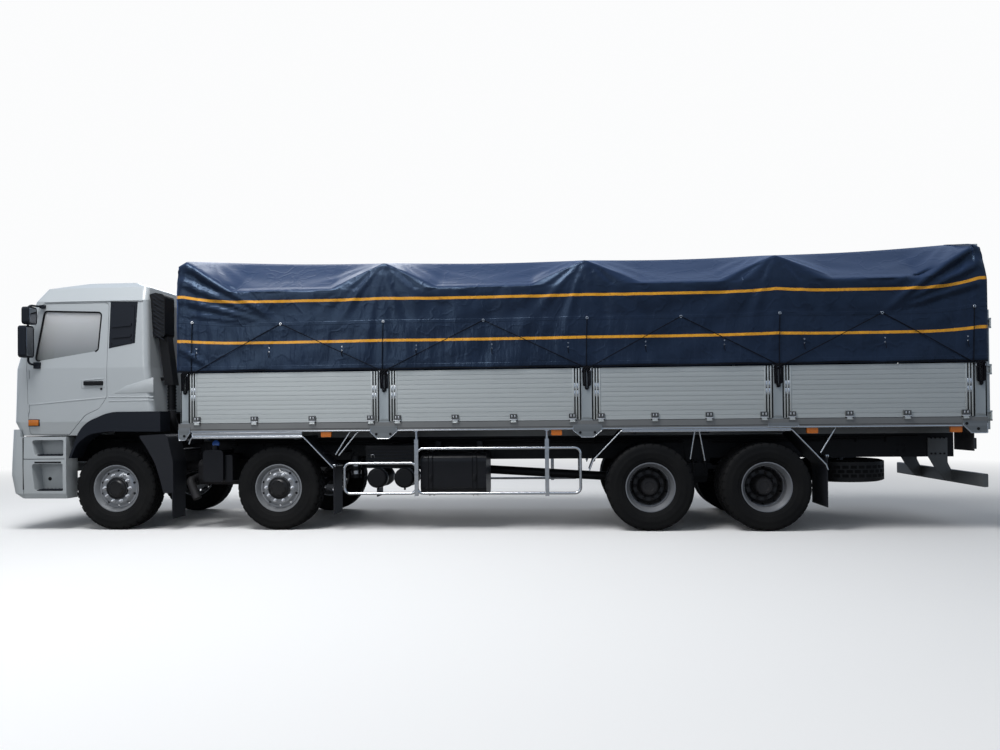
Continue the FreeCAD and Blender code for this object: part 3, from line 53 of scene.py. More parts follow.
Piece = bpy.types.Object
Material = bpy.types.Material
Tree = bpy.types.NodeTree
Node = bpy.types.Node
Socket = bpy.types.NodeSocket
Point = tuple[float, float, float]
Flat = tuple[float, float]
Outline = tuple[Flat, ...]
Test = Callable[[Vector, Vector], bool]
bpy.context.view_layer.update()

AXLES = (4.57, 2.45, -2.16, -3.53)
STEERED = 2
TYRE_RADIUS = 0.525
STEER_TRACK = 1.03
TWIN_PLANES = (1.1, 0.775)
SPARE_CENTRE = (-4.79, 0.0, 0.655)
POSTS = (3.6, 1.074, -1.405, -3.66, -5.96)
POST_WIDTHS = (0.11, 0.14, 0.15, 0.13, 0.14)
BOW_CORNERS = (3.381, 3.307, 3.284, 3.289, 3.371)
MIRRORED = Matrix.Scale(-1, 4, (0, 1, 0))


class Side(Enum):
    """The truck's two sides, by the sign of Y."""

    LEFT = 1
    RIGHT = -1

    @property
    def word(self) -> str:
        """The side's name as the nodes and bodies have it."""
        return self.name.lower()


class Graph:
    """Adds and links the nodes of one shader tree."""

    def __init__(self, tree: Tree) -> None:
        """Starts on a tree that may hold nodes already."""
        self.tree = tree

    def add(self, kind: str, settings: Optional[dict] = None, **inputs: object) -> Node:
        """Adds one node.

        Args:
            kind: the node's type name.
            settings: properties of the node itself.
            inputs: values or output sockets for its inputs, by name with _ for a space.

        Returns:
            The new node.
        """
        node = self.tree.nodes.new(kind)
        for key, value in (settings or {}).items():
            setattr(node, key, value)
        for key, value in inputs.items():
            self.feed(node.inputs[key.replace("_", " ")], value)
        return node

    def feed(self, socket: Socket, value: object) -> None:
        """Links an output to a socket, or sets the socket's own value."""
        if isinstance(value, Socket):
            self.tree.links.new(value, socket)
        else:
            socket.default_value = value

    def calc(self, operation: str, first: object, second: object = 0.0) -> Socket:
        """Result of a Math node on two values or sockets."""
        node = self.add("ShaderNodeMath", {"operation": operation})
        self.feed(node.inputs[0], first)
        self.feed(node.inputs[1], second)
        return node.outputs[0]

    def between(self, value: object, low: float, high: float) -> Socket:
        """Mask that rises from 0 at low to 1 at high."""
        return self.add("ShaderNodeMapRange", {"clamp": True}, Value=value, From_Min=low,
                        From_Max=high).outputs["Result"]

    def step(self, value: object, level: float, half: float = 0.002) -> Socket:
        """Mask that goes from 0 to 1 within a hair's breadth of a level."""
        return self.between(value, level - half, level + half)

    def product(self, first: object, second: object) -> Socket:
        """One value times another."""
        return self.calc("MULTIPLY", first, second)

    def total(self, *parts: tuple[object, float]) -> Socket:
        """Sum of several values, each times its weight."""
        result: object = 0.0
        for value, weight in parts:
            result = self.calc("ADD", result, self.product(value, weight))
        return result

    def reach(self, first: object, second: object) -> Socket:
        """Distance that two distances at right angles make."""
        return self.calc("SQRT", self.calc("ADD", self.product(first, first), self.product(second, second)))

    def place(self) -> Socket:
        """Object coordinates of the point that is shaded."""
        return self.add("ShaderNodeTexCoord").outputs["Object"]

    def split(self, vector: object) -> bpy.types.NodeOutputs:
        """X, Y and Z of a vector, by name."""
        return self.add("ShaderNodeSeparateXYZ", Vector=vector).outputs

    def upward(self) -> Socket:
        """How far the surface faces up, from -1 to 1."""
        return self.split(self.add("ShaderNodeNewGeometry").outputs["Normal"])["Z"]

    def blend(self, mask: object, first: object, second: object) -> Socket:
        """Colour that goes from first to second as the mask goes from 0 to 1."""
        node = self.add("ShaderNodeMix", {"data_type": "RGBA"})
        self.feed(node.inputs[0], mask)
        self.feed(node.inputs[6], first)
        self.feed(node.inputs[7], second)
        return node.outputs[2]

    def noise(self, vector: object, scale: float, detail: float = 4.0) -> Socket:
        """Noise value on a vector."""
        node = self.add("ShaderNodeTexNoise", Vector=vector, Scale=scale, Detail=detail)
        return node.outputs["Fac"]


def rgba(color: Sequence[float]) -> tuple[float, float, float, float]:
    """A colour with its alpha."""
    return (color[0], color[1], color[2], 1.0)


def new_material(name: str) -> tuple[Material, Graph]:
    """Starts a material with an empty shader tree."""
    material = bpy.data.materials.new(name)
    material.use_nodes = True
    material.node_tree.nodes.clear()
    return material, Graph(material.node_tree)


def new_group(name: str, inputs: dict[str, Optional[float]],
              outputs: Sequence[str]) -> tuple[Graph, Node, Node]:
    """Starts a shader node group.

    Args:
        name: the group's name.
        inputs: default values of its inputs; Vector inputs are given as None.
        outputs: names of its float outputs.

    Returns:
        The graph, its input node and its output node.
    """
    tree = bpy.data.node_groups.new(name, "ShaderNodeTree")
    for key, value in inputs.items():
        kind = "NodeSocketVector" if value is None else "NodeSocketFloat"
        socket = tree.interface.new_socket(name=key, in_out="INPUT", socket_type=kind)
        if value is not None:
            socket.default_value = value
    for key in outputs:
        tree.interface.new_socket(name=key, in_out="OUTPUT", socket_type="NodeSocketFloat")
    graph = Graph(tree)
    return graph, graph.add("NodeGroupInput"), graph.add("NodeGroupOutput")


class Effects:
    """Shader node groups that several finishes share."""

    def __init__(self) -> None:
        """Builds each group once."""
        self.dust = self._dust()
        self.grain = self._surface("fine_grain", (1.0, 1.0, 1.0), 2.0, 6.0)
        self.brushed = self._surface("brushed_lines", (0.004, 1.0, 1.0), 40.0, 5.0)
        self.weave = self._weave()

    def _dust(self) -> Tree:
        """Road dust: patchy, thickest low down and on faces that look up."""
        graph, inward, outward = new_group("road_dust", {"Amount": 0.3, "Reach": 1.2}, ["Mask"])
        place = graph.place()
        rise = graph.calc("DIVIDE", graph.split(place)["Z"], inward.outputs["Reach"])
        low = graph.between(graph.calc("SUBTRACT", 1.0, rise), 0.0, 1.0)
        flat = graph.product(graph.between(graph.upward(), 0.2, 1.0), 0.35)
        patch = graph.between(graph.noise(place, 3.5, 8.0), 0.3, 0.75)
        fine = graph.between(graph.noise(place, 60.0, 3.0), 0.2, 0.9)
        mask = graph.product(graph.calc("ADD", low, flat), graph.calc("ADD", patch, 0.25))
        mask = graph.product(mask, graph.calc("ADD", graph.product(fine, 0.5), 0.6))
        mask = graph.product(mask, inward.outputs["Amount"])
        graph.feed(outward.inputs["Mask"], graph.between(mask, 0.0, 1.0))
        return graph.tree

    def _surface(self, name: str, drawn: Point, patch: float, detail: float) -> Tree:
        """Fine height and wide tint of a surface, drawn out along X where it is brushed."""
        graph, inward, outward = new_group(name, {"Scale": 200.0}, ["Height", "Tint"])
        place = graph.add("ShaderNodeMapping", Vector=graph.place(), Scale=drawn).outputs[0]
        graph.feed(outward.inputs["Height"], graph.noise(place, inward.outputs["Scale"], 3.0))
        graph.feed(outward.inputs["Tint"], graph.noise(place, patch, detail))
        return graph.tree

    def _weave(self) -> Tree:
        """Plain weave of warp and weft threads on a vector in metres."""
        graph, inward, outward = new_group("plain_weave", {"Vector": None, "Pitch": 0.004}, ["Height"])
        split = graph.split(inward.outputs["Vector"])
        turn = graph.calc("DIVIDE", pi, inward.outputs["Pitch"])
        warp, weft = (graph.calc("ABSOLUTE", graph.calc("SINE", graph.product(split[way], turn)))
                      for way in "XY")
        graph.feed(outward.inputs["Height"], graph.product(graph.calc("ADD", warp, weft), 0.5))
        return graph.tree

    def use(self, graph: Graph, tree: Tree, **inputs: object) -> Node:
        """Places a group in a material with its own values."""
        node = graph.add("ShaderNodeGroup", {"node_tree": tree})
        for key, value in inputs.items():
            graph.feed(node.inputs[key], value)
        return node


class Texture(Enum):
    """How a finish breaks up its surface."""

    GRAIN = "grain"
    BRUSHED = "brushed"


DUST_COLOR = (0.30, 0.275, 0.24)
BLACK = (0.0, 0.0, 0.0)


@dataclass(frozen=True)
class Finish:
    """A painted, cast, moulded or metal surface with its dust and variation."""

    name: str
    color: Point
    roughness: float = 0.5
    metallic: float = 0.0
    texture: Texture = Texture.GRAIN
    scale: float = 220.0
    bump: float = 0.05
    spread: float = 0.12
    dust: float = 0.05
    reach: float = 1.3
    coat: float = 0.0
    specular: float = 0.5

    def base(self, graph: Graph, place: Socket) -> object:
        """Colour before variation and dust."""
        return rgba(self.color)

    def build(self, effects: Effects) -> Material:
        """Makes the material.

        Args:
            effects: the shared node groups.

        Returns:
            The finished material.
        """
        material, graph = new_material(self.name)
        tree = effects.brushed if self.texture is Texture.BRUSHED else effects.grain
        surface = effects.use(graph, tree, Scale=self.scale).outputs
        base = self.base(graph, graph.place())
        dark = graph.blend(self.spread, base, rgba(BLACK))
        color = graph.blend(graph.between(surface["Tint"], 0.25, 0.75), dark, base)
        dust = effects.use(graph, effects.dust, Amount=self.dust, Reach=self.reach).outputs["Mask"]
        rough = graph.calc("ADD", self.roughness - 0.06, graph.total((surface["Tint"], 0.12), (dust, 0.35)))
        bump = graph.add("ShaderNodeBump", Strength=self.bump, Distance=0.002, Height=surface["Height"])
        shader = graph.add("ShaderNodeBsdfPrincipled", Base_Color=graph.blend(dust, color, rgba(DUST_COLOR)),
                           Roughness=rough, Metallic=self.metallic, Normal=bump.outputs["Normal"],
                           Coat_Weight=self.coat, Coat_Roughness=0.12, Specular_IOR_Level=self.specular)
        graph.add("ShaderNodeOutputMaterial", Surface=shader.outputs["BSDF"])
        return material


@dataclass(frozen=True)
class BandedFinish(Finish):
    """A finish whose colour changes at a height, as a painted body over a dark sill has."""

    lower: Point = (0.2, 0.2, 0.2)
    height: float = 1.33

    def base(self, graph: Graph, place: Socket) -> object:
        """Lower colour below the height and the finish's own above it."""
        mask = graph.step(graph.split(place)["Z"], self.height)
        return graph.blend(mask, rgba(self.lower), rgba(self.color))


@dataclass(frozen=True)
class LampFinish(Finish):
    """Lamps of the frame: clear in front, dark housings at the rear, amber between."""

    front: Point = (0.50, 0.53, 0.56)
    rear: Point = (0.03, 0.03, 0.033)

    def base(self, graph: Graph, place: Socket) -> object:
        """Colour by the lamp's place along the truck."""
        along = graph.split(place)["X"]
        color = graph.blend(graph.between(along, 5.4, 5.5), rgba(self.color), rgba(self.front))
        return graph.blend(graph.between(along, -5.87, -5.88), color, rgba(self.rear))


@dataclass(frozen=True)
class FlangedFinish(Finish):
    """A wheel's paint with a dark disc round the axle: the front hub's own black, and on the twin rims a
    painted shade over the deep dish.
    """

    # The disc's colour: the hub's own black on the front rims, painted shade over the deep dish on the twin
    # rims.
    hub: Point = (0.008, 0.008, 0.009)
    hub_radius: float = 0.14

    def base(self, graph: Graph, place: Socket) -> object:
        """Dark colour within the dark disc's radius of the nearest axle line."""
        split = graph.split(place)
        rise = graph.calc("SUBTRACT", split["Z"], TYRE_RADIUS)
        near: object = 9.0
        for x in AXLES:
            near = graph.calc("MINIMUM", graph.reach(graph.calc("SUBTRACT", split["X"], x), rise), near)
        return graph.blend(graph.step(near, self.hub_radius), rgba(self.hub), rgba(self.color))


@dataclass(frozen=True)
class SpareFinish(Finish):
    """The spare wheel: a painted rim inside a tyre that lies flat."""

    rubber: Point = (0.0045, 0.0047, 0.0052)
    rim_reach: float = 0.286

    def base(self, graph: Graph, place: Socket) -> object:
        """Rubber beyond the rim's edge."""
        split = graph.split(place)
        away = graph.reach(graph.calc("SUBTRACT", split["X"], SPARE_CENTRE[0]), split["Y"])
        return graph.blend(graph.step(away, self.rim_reach, 0.001), rgba(self.color), rgba(self.rubber))


@dataclass(frozen=True)
class TyreFinish(Finish):
    """Tyre rubber, gone grey in patches."""

    grey: Point = (0.0095, 0.0095, 0.0097)

    def base(self, graph: Graph, place: Socket) -> object:
        """Black rubber with the grey of its patches."""
        patch = graph.between(graph.noise(place, 5.0, 7.0), 0.4, 0.9)
        return graph.blend(patch, rgba(self.color), rgba(self.grey))


@dataclass(frozen=True)
class GlassFinish:
    """Window glass, a little dusty, with a painted gradient: painted shade towards its foot and a pale painted
    reflection towards its head.
    """

    name: str = "cab_glass"
    # color is the pale painted reflection at the head, shade the painted shade at the foot.
    color: Point = (1.0, 1.0, 1.0)
    shade: Point = (0.25, 0.275, 0.285)
    foot: float = 2.10
    head: float = 2.78

    def build(self, effects: Effects) -> Material:
        """Makes the glass, with a haze of dust in its roughness."""
        material, graph = new_material(self.name)
        dust = effects.use(graph, effects.dust, Amount=0.3, Reach=4.0).outputs["Mask"]
        # Painted gradient from painted shade at the foot to painted reflection at the head.
        rise = graph.between(graph.split(graph.place())["Z"], self.foot, self.head)
        shader = graph.add("ShaderNodeBsdfPrincipled", IOR=1.45, Transmission_Weight=0.5,
                           Base_Color=graph.blend(rise, rgba(self.shade), rgba(self.color)),
                           Roughness=graph.calc("ADD", 0.03, graph.product(dust, 0.2)))
        graph.add("ShaderNodeOutputMaterial", Surface=shader.outputs["BSDF"])
        return material


@dataclass(frozen=True)
class ClothFinish:
    """Coated tarpaulin with its two stripes, welded seams and woven scrim, and a painted sky reflection on
    faces that look up.
    """

    name: str = "tarpaulin_cloth"
    color: Point = (0.0060, 0.0095, 0.0210)
    worn: Point = (0.0090, 0.0150, 0.0340)
    chalk: Point = (0.030, 0.048, 0.095)
    # Painted sky reflection: the bluer, lighter colour that faces looking up are given.
    upward: Point = (0.014, 0.030, 0.080)
    stripe: Point = (0.86, 0.40, 0.022)
    faded_stripe: Point = (0.52, 0.22, 0.03)
    gloss_tint: Point = (0.45, 0.68, 1.0)
    sheen_tint: Point = (0.16, 0.36, 1.0)
    stripes: tuple[float, ...] = (2.85, 2.34)
    stripe_half: float = 0.0155
    seams: tuple[float, ...] = (2.57, 2.03)
    seam_half: float = 0.020
    pitch: float = 0.005

    def bands(self, graph: Graph, height: Socket, levels: Sequence[float], outer: float,
              inner: float) -> object:
        """Mask of the bands that run along the cloth at several heights.

        Args:
            graph: the material's graph.
            height: height on the cloth in metres.
            levels: heights of the bands' middles.
            outer: half width at which a band begins.
            inner: half width at which it is full.

        Returns:
            The mask.
        """
        mask: object = 0.0
        for level in levels:
            away = graph.calc("ABSOLUTE", graph.calc("SUBTRACT", height, level))
            mask = graph.calc("MAXIMUM", graph.between(away, outer, inner), mask)
        return mask

    def relief(self, effects: Effects, graph: Graph, place: Socket,
               cut: Socket) -> Socket:
        """Height of the weave, the seams, the creases and the rucks that hang below the ties.

        Args:
            effects: the shared node groups.
            graph: the material's graph.
            place: Object coordinates.
            cut: place on the cut cloth.

        Returns:
            The height, for a Bump node.
        """
        height = graph.split(cut)["Y"]
        seam = self.bands(graph, height, self.seams, self.seam_half + 0.002, self.seam_half - 0.002)
        weave = effects.use(graph, effects.weave, Vector=cut, Pitch=self.pitch).outputs["Height"]
        crease = graph.noise(place, 6.0, 7.0)
        apart = graph.calc("ABSOLUTE", graph.calc("SUBTRACT", graph.noise(place, 3.2, 2.0), 0.5))
        wrinkle = graph.between(apart, 0.045, 0.0)
        spread = graph.split(place)
        hung = graph.add("ShaderNodeCombineXYZ", X=graph.product(spread["X"], 9.0), Y=spread["Y"],
                         Z=graph.product(spread["Z"], 2.2)).outputs[0]
        below = graph.between(height, 2.62, 2.50)
        ruck = graph.product(graph.between(graph.noise(hung, 1.0, 3.0), 0.35, 0.75), below)
        return graph.total((weave, 0.08), (seam, 0.8), (crease, 1.2), (wrinkle, 0.7), (ruck, 2.6))

    def build(self, effects: Effects) -> Material:
        """Makes the cloth from its UV map, whose V is the height on the cloth in metres."""
        material, graph = new_material(self.name)
        cut = graph.add("ShaderNodeUVMap", {"uv_map": "cut"}).outputs["UV"]
        place = graph.place()
        height = graph.split(cut)["Y"]
        band = self.bands(graph, height, self.stripes, self.stripe_half + 0.002, self.stripe_half)
        wear = graph.between(graph.noise(place, 1.6, 9.0), 0.3, 0.8)
        chalky = graph.between(graph.noise(place, 9.0, 6.0), 0.45, 0.85)
        cloth = graph.blend(wear, rgba(self.color), rgba(self.worn))
        cloth = graph.blend(graph.product(chalky, 0.10), cloth, rgba(self.chalk))
        # Painted sky reflection: faces that look up are blended towards the upward colour.
        cloth = graph.blend(graph.between(graph.upward(), 0.15, 0.85), cloth, rgba(self.upward))
        faded = graph.between(graph.noise(place, 30.0, 5.0), 0.55, 0.8)
        cloth = graph.blend(band, cloth, graph.blend(faded, rgba(self.stripe), rgba(self.faded_stripe)))
        dust = effects.use(graph, effects.dust, Amount=0.012, Reach=6.0).outputs["Mask"]
        bump = graph.add("ShaderNodeBump", Strength=0.45, Distance=0.006,
                         Height=self.relief(effects, graph, place, cut))
        shader = graph.add("ShaderNodeBsdfPrincipled", Base_Color=graph.blend(dust, cloth, rgba(DUST_COLOR)),
                           Roughness=graph.calc("ADD", 0.28, graph.product(wear, 0.12)),
                           Normal=bump.outputs["Normal"], Specular_IOR_Level=0.45,
                           Specular_Tint=rgba(self.gloss_tint), Sheen_Weight=0.20, Sheen_Roughness=0.35,
                           Sheen_Tint=rgba(self.sheen_tint))
        graph.add("ShaderNodeOutputMaterial", Surface=shader.outputs["BSDF"])
        return material


FINISHES = {
    "white": Finish("white_paint", (0.48, 0.515, 0.535), 0.30, bump=0.03, spread=0.03, dust=0.12, reach=1.6,
                    coat=0.3),
    "guard": Finish("guard_black", (0.013, 0.0145, 0.019), scale=300.0, bump=0.12, dust=0.02, specular=0.25),
    "plastic": Finish("dark_plastic", (0.009, 0.0115, 0.0175), scale=600.0, bump=0.2, dust=0.015,
                      specular=0.2),
    "chassis": Finish("chassis_black", (0.0055, 0.006, 0.0075), scale=120.0, bump=0.15, dust=0.015,
                      specular=0.2),
    "tank": Finish("tank_black", (0.006, 0.0065, 0.009), 0.3, dust=0.015, coat=0.06, specular=0.25),
    "iron": Finish("engine_iron", (0.022, 0.022, 0.025), 0.6, 0.3, scale=90.0, bump=0.4, dust=0.10,
                   specular=0.3),
    "tyre": TyreFinish("tyre_rubber", (0.0045, 0.0047, 0.0052), 0.7, scale=300.0, bump=0.2, dust=0.02,
                       specular=0.15),
    "rim": FlangedFinish("rim_silver", (0.29, 0.30, 0.315), 0.34, 0.45, dust=0.08, hub_radius=0.138),
    # On the twin rims the dark disc is painted shade over the deep dish.
    "twin": FlangedFinish("rim_twin", (0.25, 0.26, 0.28), 0.4, 0.45, bump=0.06, dust=0.08,
                          hub=(0.024, 0.025, 0.028), hub_radius=0.238),
    "spare": SpareFinish("rim_spare", (0.22, 0.23, 0.245), 0.4, 0.45, bump=0.06, dust=0.08),
    "nut": Finish("nut_steel", (0.72, 0.73, 0.75), 0.28, 0.6, dust=0.03),
    "steel": Finish("bright_steel", (0.60, 0.61, 0.62), 0.22, 1.0, Texture.BRUSHED, dust=0.10),
    "aluminium": Finish("rib_aluminium", (0.53, 0.56, 0.555), 0.42, 0.40, Texture.BRUSHED, spread=0.14,
                        reach=2.2),
    "body": BandedFinish("body_paint", (0.37, 0.41, 0.43), 0.38, 0.3, dust=0.08, reach=2.0,
                         lower=(0.20, 0.205, 0.205), height=1.338),
    "gusset": Finish("gusset_plate", (0.26, 0.275, 0.28), 0.32, 0.6, Texture.BRUSHED, bump=0.10, spread=0.35),
    "bracket": Finish("hinge_bracket", (0.085, 0.09, 0.092), 0.4, 0.2, Texture.BRUSHED, bump=0.10, spread=0.4,
                      dust=0.03),
    "galvanised": Finish("dark_steel", (0.120, 0.128, 0.134), 0.45, 0.2, scale=60.0, bump=0.15, spread=0.3,
                         dust=0.03),
    "seat": Finish("seat_cloth", (0.10, 0.11, 0.12), 0.9, scale=900.0, bump=0.5),
    "amber": Finish("lamp_amber", (0.60, 0.17, 0.010), 0.25, bump=0.02, spread=0.05, coat=0.4),
    "lamps": LampFinish("lamp_lens", (0.62, 0.16, 0.008), 0.25, bump=0.02, spread=0.1, coat=0.4),
    "red": Finish("lamp_red", (0.42, 0.012, 0.010), 0.2, bump=0.02, spread=0.05, coat=0.5),
    "clear": Finish("lamp_clear", (0.55, 0.58, 0.61), 0.12, 0.4, bump=0.02, spread=0.2, coat=0.8),
    "mirror": Finish("mirror_glass", (0.20, 0.21, 0.23), 0.08, 1.0, bump=0.0, spread=0.02),
    "rubber": Finish("black_rubber", (0.006, 0.006, 0.007), 0.6, scale=400.0, bump=0.2, dust=0.01,
                     specular=0.2),
    "rope": Finish("rope", (0.006, 0.0065, 0.009), 0.85, scale=900.0, bump=0.6, dust=0.01, specular=0.1),
    "blue": Finish("blue_cap", (0.045, 0.16, 0.60), 0.4),
    "glass": GlassFinish(),
    # The windscreen's darker gradient is painted shade and painted reflection as well.
    "screen": GlassFinish("screen_glass", (0.42, 0.46, 0.48), (0.13, 0.15, 0.16), 2.05, 2.85),
    "cloth": ClothFinish(),
}


def add_object(name: str, data: bpy.types.ID) -> Piece:
    """Puts a mesh, curve, lamp or camera in the scene."""
    piece = bpy.data.objects.new(name, data)
    bpy.context.scene.collection.objects.link(piece)
    return piece


def looks_out(along: float = 1.0, up: float = 1.0) -> Test:
    """Test for faces on the truck's left, given how far their normals may lean along the truck and up."""
    return lambda centre, normal: normal.y > 0.9 and abs(normal.x) < along and abs(normal.z) < up


class Bench:
    """Modelling by Blender's operators, and the last steps that every piece gets."""

    def __init__(self) -> None:
        """Builds the materials and counts the pieces."""
        self.effects = Effects()
        self.materials = {key: finish.build(self.effects) for key, finish in FINISHES.items()}
        self.count = 0

    def clear(self) -> None:
        """Deselects everything."""
        bpy.ops.object.select_all(action="DESELECT")

    def hold(self, piece: Piece) -> None:
        """Selects one piece and makes it active."""
        self.clear()
        piece.select_set(True)
        bpy.context.view_layer.objects.active = piece

    def fix(self, piece: Piece) -> Piece:
        """Applies a piece's place, turn and size to its mesh."""
        self.hold(piece)
        bpy.ops.object.transform_apply(location=True, rotation=True, scale=True)
        return piece

    def cube(self, name: str, low: Point, high: Point) -> Piece:
        """Starts a block between two corners."""
        self.clear()
        middle = [(a + b) / 2 for a, b in zip(low, high)]
        bpy.ops.mesh.primitive_cube_add(size=1, location=middle)
        piece = bpy.context.object
        piece.name = name
        piece.scale = [abs(b - a) for a, b in zip(low, high)]
        return self.fix(piece)

    def round(self, name: str, start: Point, end: Point, radius: float, sides: int = 24) -> Piece:
        """Starts a round or many-sided bar from one point to another."""
        self.clear()
        run = Vector(end) - Vector(start)
        middle = (Vector(end) + Vector(start)) / 2
        bpy.ops.mesh.primitive_cylinder_add(vertices=sides, radius=radius, depth=run.length, location=middle)
        piece = bpy.context.object
        piece.name = name
        piece.rotation_euler = Vector((0, 0, 1)).rotation_difference(run).to_euler()
        return self.fix(piece)

    def edit(self, piece: Piece) -> None:
        """Enters edit mode with all of a piece selected."""
        self.hold(piece)
        bpy.ops.object.mode_set(mode="EDIT")
        bpy.ops.mesh.select_all(action="SELECT")

    def leave(self) -> None:
        """Leaves edit mode."""
        bpy.ops.object.mode_set(mode="OBJECT")

    def leave_outward(self) -> None:
        """Turns all faces of the edited piece outwards and leaves edit mode."""
        bpy.ops.mesh.select_all(action="SELECT")
        bpy.ops.mesh.normals_make_consistent(inside=False)
        self.leave()

    def lathe(self, name: str, profile: Sequence[Flat], steps: int, spot: Point = (0.0, 0.0, 0.0),
              turn: Optional[Matrix] = None) -> Piece:
        """Spins a profile about the Y axis.

        Args:
            name: the piece's name.
            profile: its (axial, radius) points.
            steps: faces round the axis.
            spot: where the origin of the profile ends up.
            turn: how the piece is turned before it goes there.

        Returns:
            The round piece.
        """
        mesh = bpy.data.meshes.new(name)
        edges = [(n, n + 1) for n in range(len(profile) - 1)]
        mesh.from_pydata([(0.0, along, radius) for along, radius in profile], edges, [])
        piece = add_object(name, mesh)
        self.edit(piece)
        bpy.ops.mesh.spin(steps=steps, angle=2 * pi, center=(0, 0, 0), axis=(0, 1, 0))
        bpy.ops.mesh.select_all(action="SELECT")
        bpy.ops.mesh.remove_doubles(threshold=0.00005)
        self.leave_outward()
        if turn is not None:
            piece.data.transform(turn)
        piece.data.transform(Matrix.Translation(spot))
        return piece

    def band(self, name: str, half: float, inner: float, outer: float, steps: int, spot: Point,
             turn: Optional[Matrix] = None) -> Piece:
        """Flat ring with square edges, as a strap round a tank."""
        profile = [(-half, inner), (half, inner), (half, outer), (-half, outer), (-half, inner)]
        return self.lathe(name, profile, steps, spot, turn)

    def pick(self, piece: Piece, test: Test) -> int:
        """Enters edit mode with just the faces selected whose centre and normal pass the test.

        Args:
            piece: the piece to edit.
            test: called with a face's centre and normal.

        Returns:
            How many faces are selected.
        """
        self.edit(piece)
        bpy.ops.mesh.select_mode(type="FACE")
        bpy.ops.mesh.select_all(action="DESELECT")
        shape = bmesh.from_edit_mesh(piece.data)
        picked = 0
        for face in shape.faces:
            if test(face.calc_center_median(), face.normal):
                face.select_set(True)
                picked += 1
        bmesh.update_edit_mesh(piece.data)
        return picked

    def inset(self, piece: Piece, test: Test, border: float, depth: float) -> Piece:
        """Insets the picked faces and then moves them along their normals."""
        if self.pick(piece, test):
            bpy.ops.mesh.inset(thickness=border, depth=depth)
        self.leave()
        return piece

    def modify(self, piece: Piece, kind: str, **settings: object) -> None:
        """Adds one modifier and applies it."""
        modifier = piece.modifiers.new(kind.lower(), kind)
        for key, value in settings.items():
            setattr(modifier, key, value)
        self.hold(piece)
        bpy.ops.object.modifier_apply(modifier=modifier.name)

    def bevel(self, piece: Piece, width: float, segments: int = 2) -> Piece:
        """Rounds a piece's sharp edges."""
        self.modify(piece, "BEVEL", width=width, segments=segments, limit_method="ANGLE",
                    angle_limit=radians(40))
        return piece

    def block(self, name: str, low: Point, high: Point, edge: float, segments: int = 2) -> Piece:
        """Block between two corners with its edges rounded."""
        return self.bevel(self.cube(name, low, high), edge, segments)

    def head(self, name: str, spot: Point, out: float, radius: float, sides: int = 6, edge: float = 0.002,
             segments: int = 2) -> Piece:
        """Bolt head, cap or stud that stands out along Y from a spot, with its rim rounded."""
        x, y, z = spot
        return self.bevel(self.round(name, spot, (x, y + out, z), radius, sides), edge, segments)

    def copy(self, piece: Piece, name: str, matrix: Matrix) -> Piece:
        """Copies a piece with its own mesh, moved by a matrix; a mirrored copy is turned right side out."""
        twin = add_object(name, piece.data.copy())
        twin.data.transform(matrix)
        if matrix.determinant() < 0:
            twin.data.flip_normals()
        return twin

    def join(self, pieces: Sequence[Piece], name: str) -> Piece:
        """Joins several pieces into one."""
        self.clear()
        for piece in pieces:
            piece.select_set(True)
        bpy.context.view_layer.objects.active = pieces[0]
        if len(pieces) > 1:
            bpy.ops.object.join()
        pieces[0].name = name
        return pieces[0]

    def tube(self, name: str, points: Sequence[Point], radius: float, bend: float = 0.0,
             sides: int = 3) -> Piece:
        """Makes a mesh tube along straight runs with rounded corners."""
        curve = bpy.data.curves.new(name, "CURVE")
        curve.dimensions = "3D"
        curve.bevel_depth = radius
        curve.bevel_resolution = sides
        curve.use_fill_caps = True
        spline = curve.splines.new("POLY")
        route = rounded_route([Vector(p) for p in points], bend)
        spline.points.add(len(route) - 1)
        for place, point in zip(spline.points, route):
            place.co = (*point, 1.0)
        self.hold(add_object(name, curve))
        bpy.ops.object.convert(target="MESH")
        return bpy.context.object

    def done(self, piece: Piece, body: str, finish: str, angle: float = 30.0) -> Piece:
        """Smooths, colours and mounts a piece.

        Args:
            piece: the piece, already in its place.
            body: the CAD body it rides on.
            finish: key of its finish.
            angle: edges sharper than this stay sharp, in degrees.

        Returns:
            The same piece.
        """
        self.hold(piece)
        bpy.ops.object.shade_smooth_by_angle(angle=radians(angle))
        piece.data.materials.clear()
        piece.data.materials.append(self.materials[finish])
        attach(piece, body)
        self.count += 1
        log.info("%s: %d faces on %s", piece.name, len(piece.data.polygons), body)
        return piece

    def both(self, piece: Piece, body: str, finish: str, angle: float = 30.0) -> None:
        """Finishes a left piece and its mirrored copy; {side} in the body's name is filled in."""
        stem = piece.name
        twin = self.copy(piece, stem + "_right", MIRRORED)
        piece.name = stem + "_left"
        self.done(piece, body.format(side="left"), finish, angle)
        self.done(twin, body.format(side="right"), finish, angle)

    def single(self, parts: Sequence[Piece], name: str, body: str, finish: str,
               angle: float = 30.0) -> None:
        """Joins parts into one piece and finishes it."""
        self.done(self.join(parts, name), body, finish, angle)

    def pair(self, parts: Sequence[Piece], name: str, body: str, finish: str,
             angle: float = 30.0) -> None:
        """Joins the left side's parts into one piece and finishes it and its mirrored copy."""
        self.both(self.join(parts, name), body, finish, angle)


def read_off(line: Sequence[Flat], at: float, outside: float) -> float:
    """Second value of a line of points where the first one is given, or the value outside it."""
    for (first, value), (last, next_value) in zip(line, line[1:]):
        if first <= at <= last:
            return value + (next_value - value) * (at - first) / max(last - first, 1e-6)
    return outside


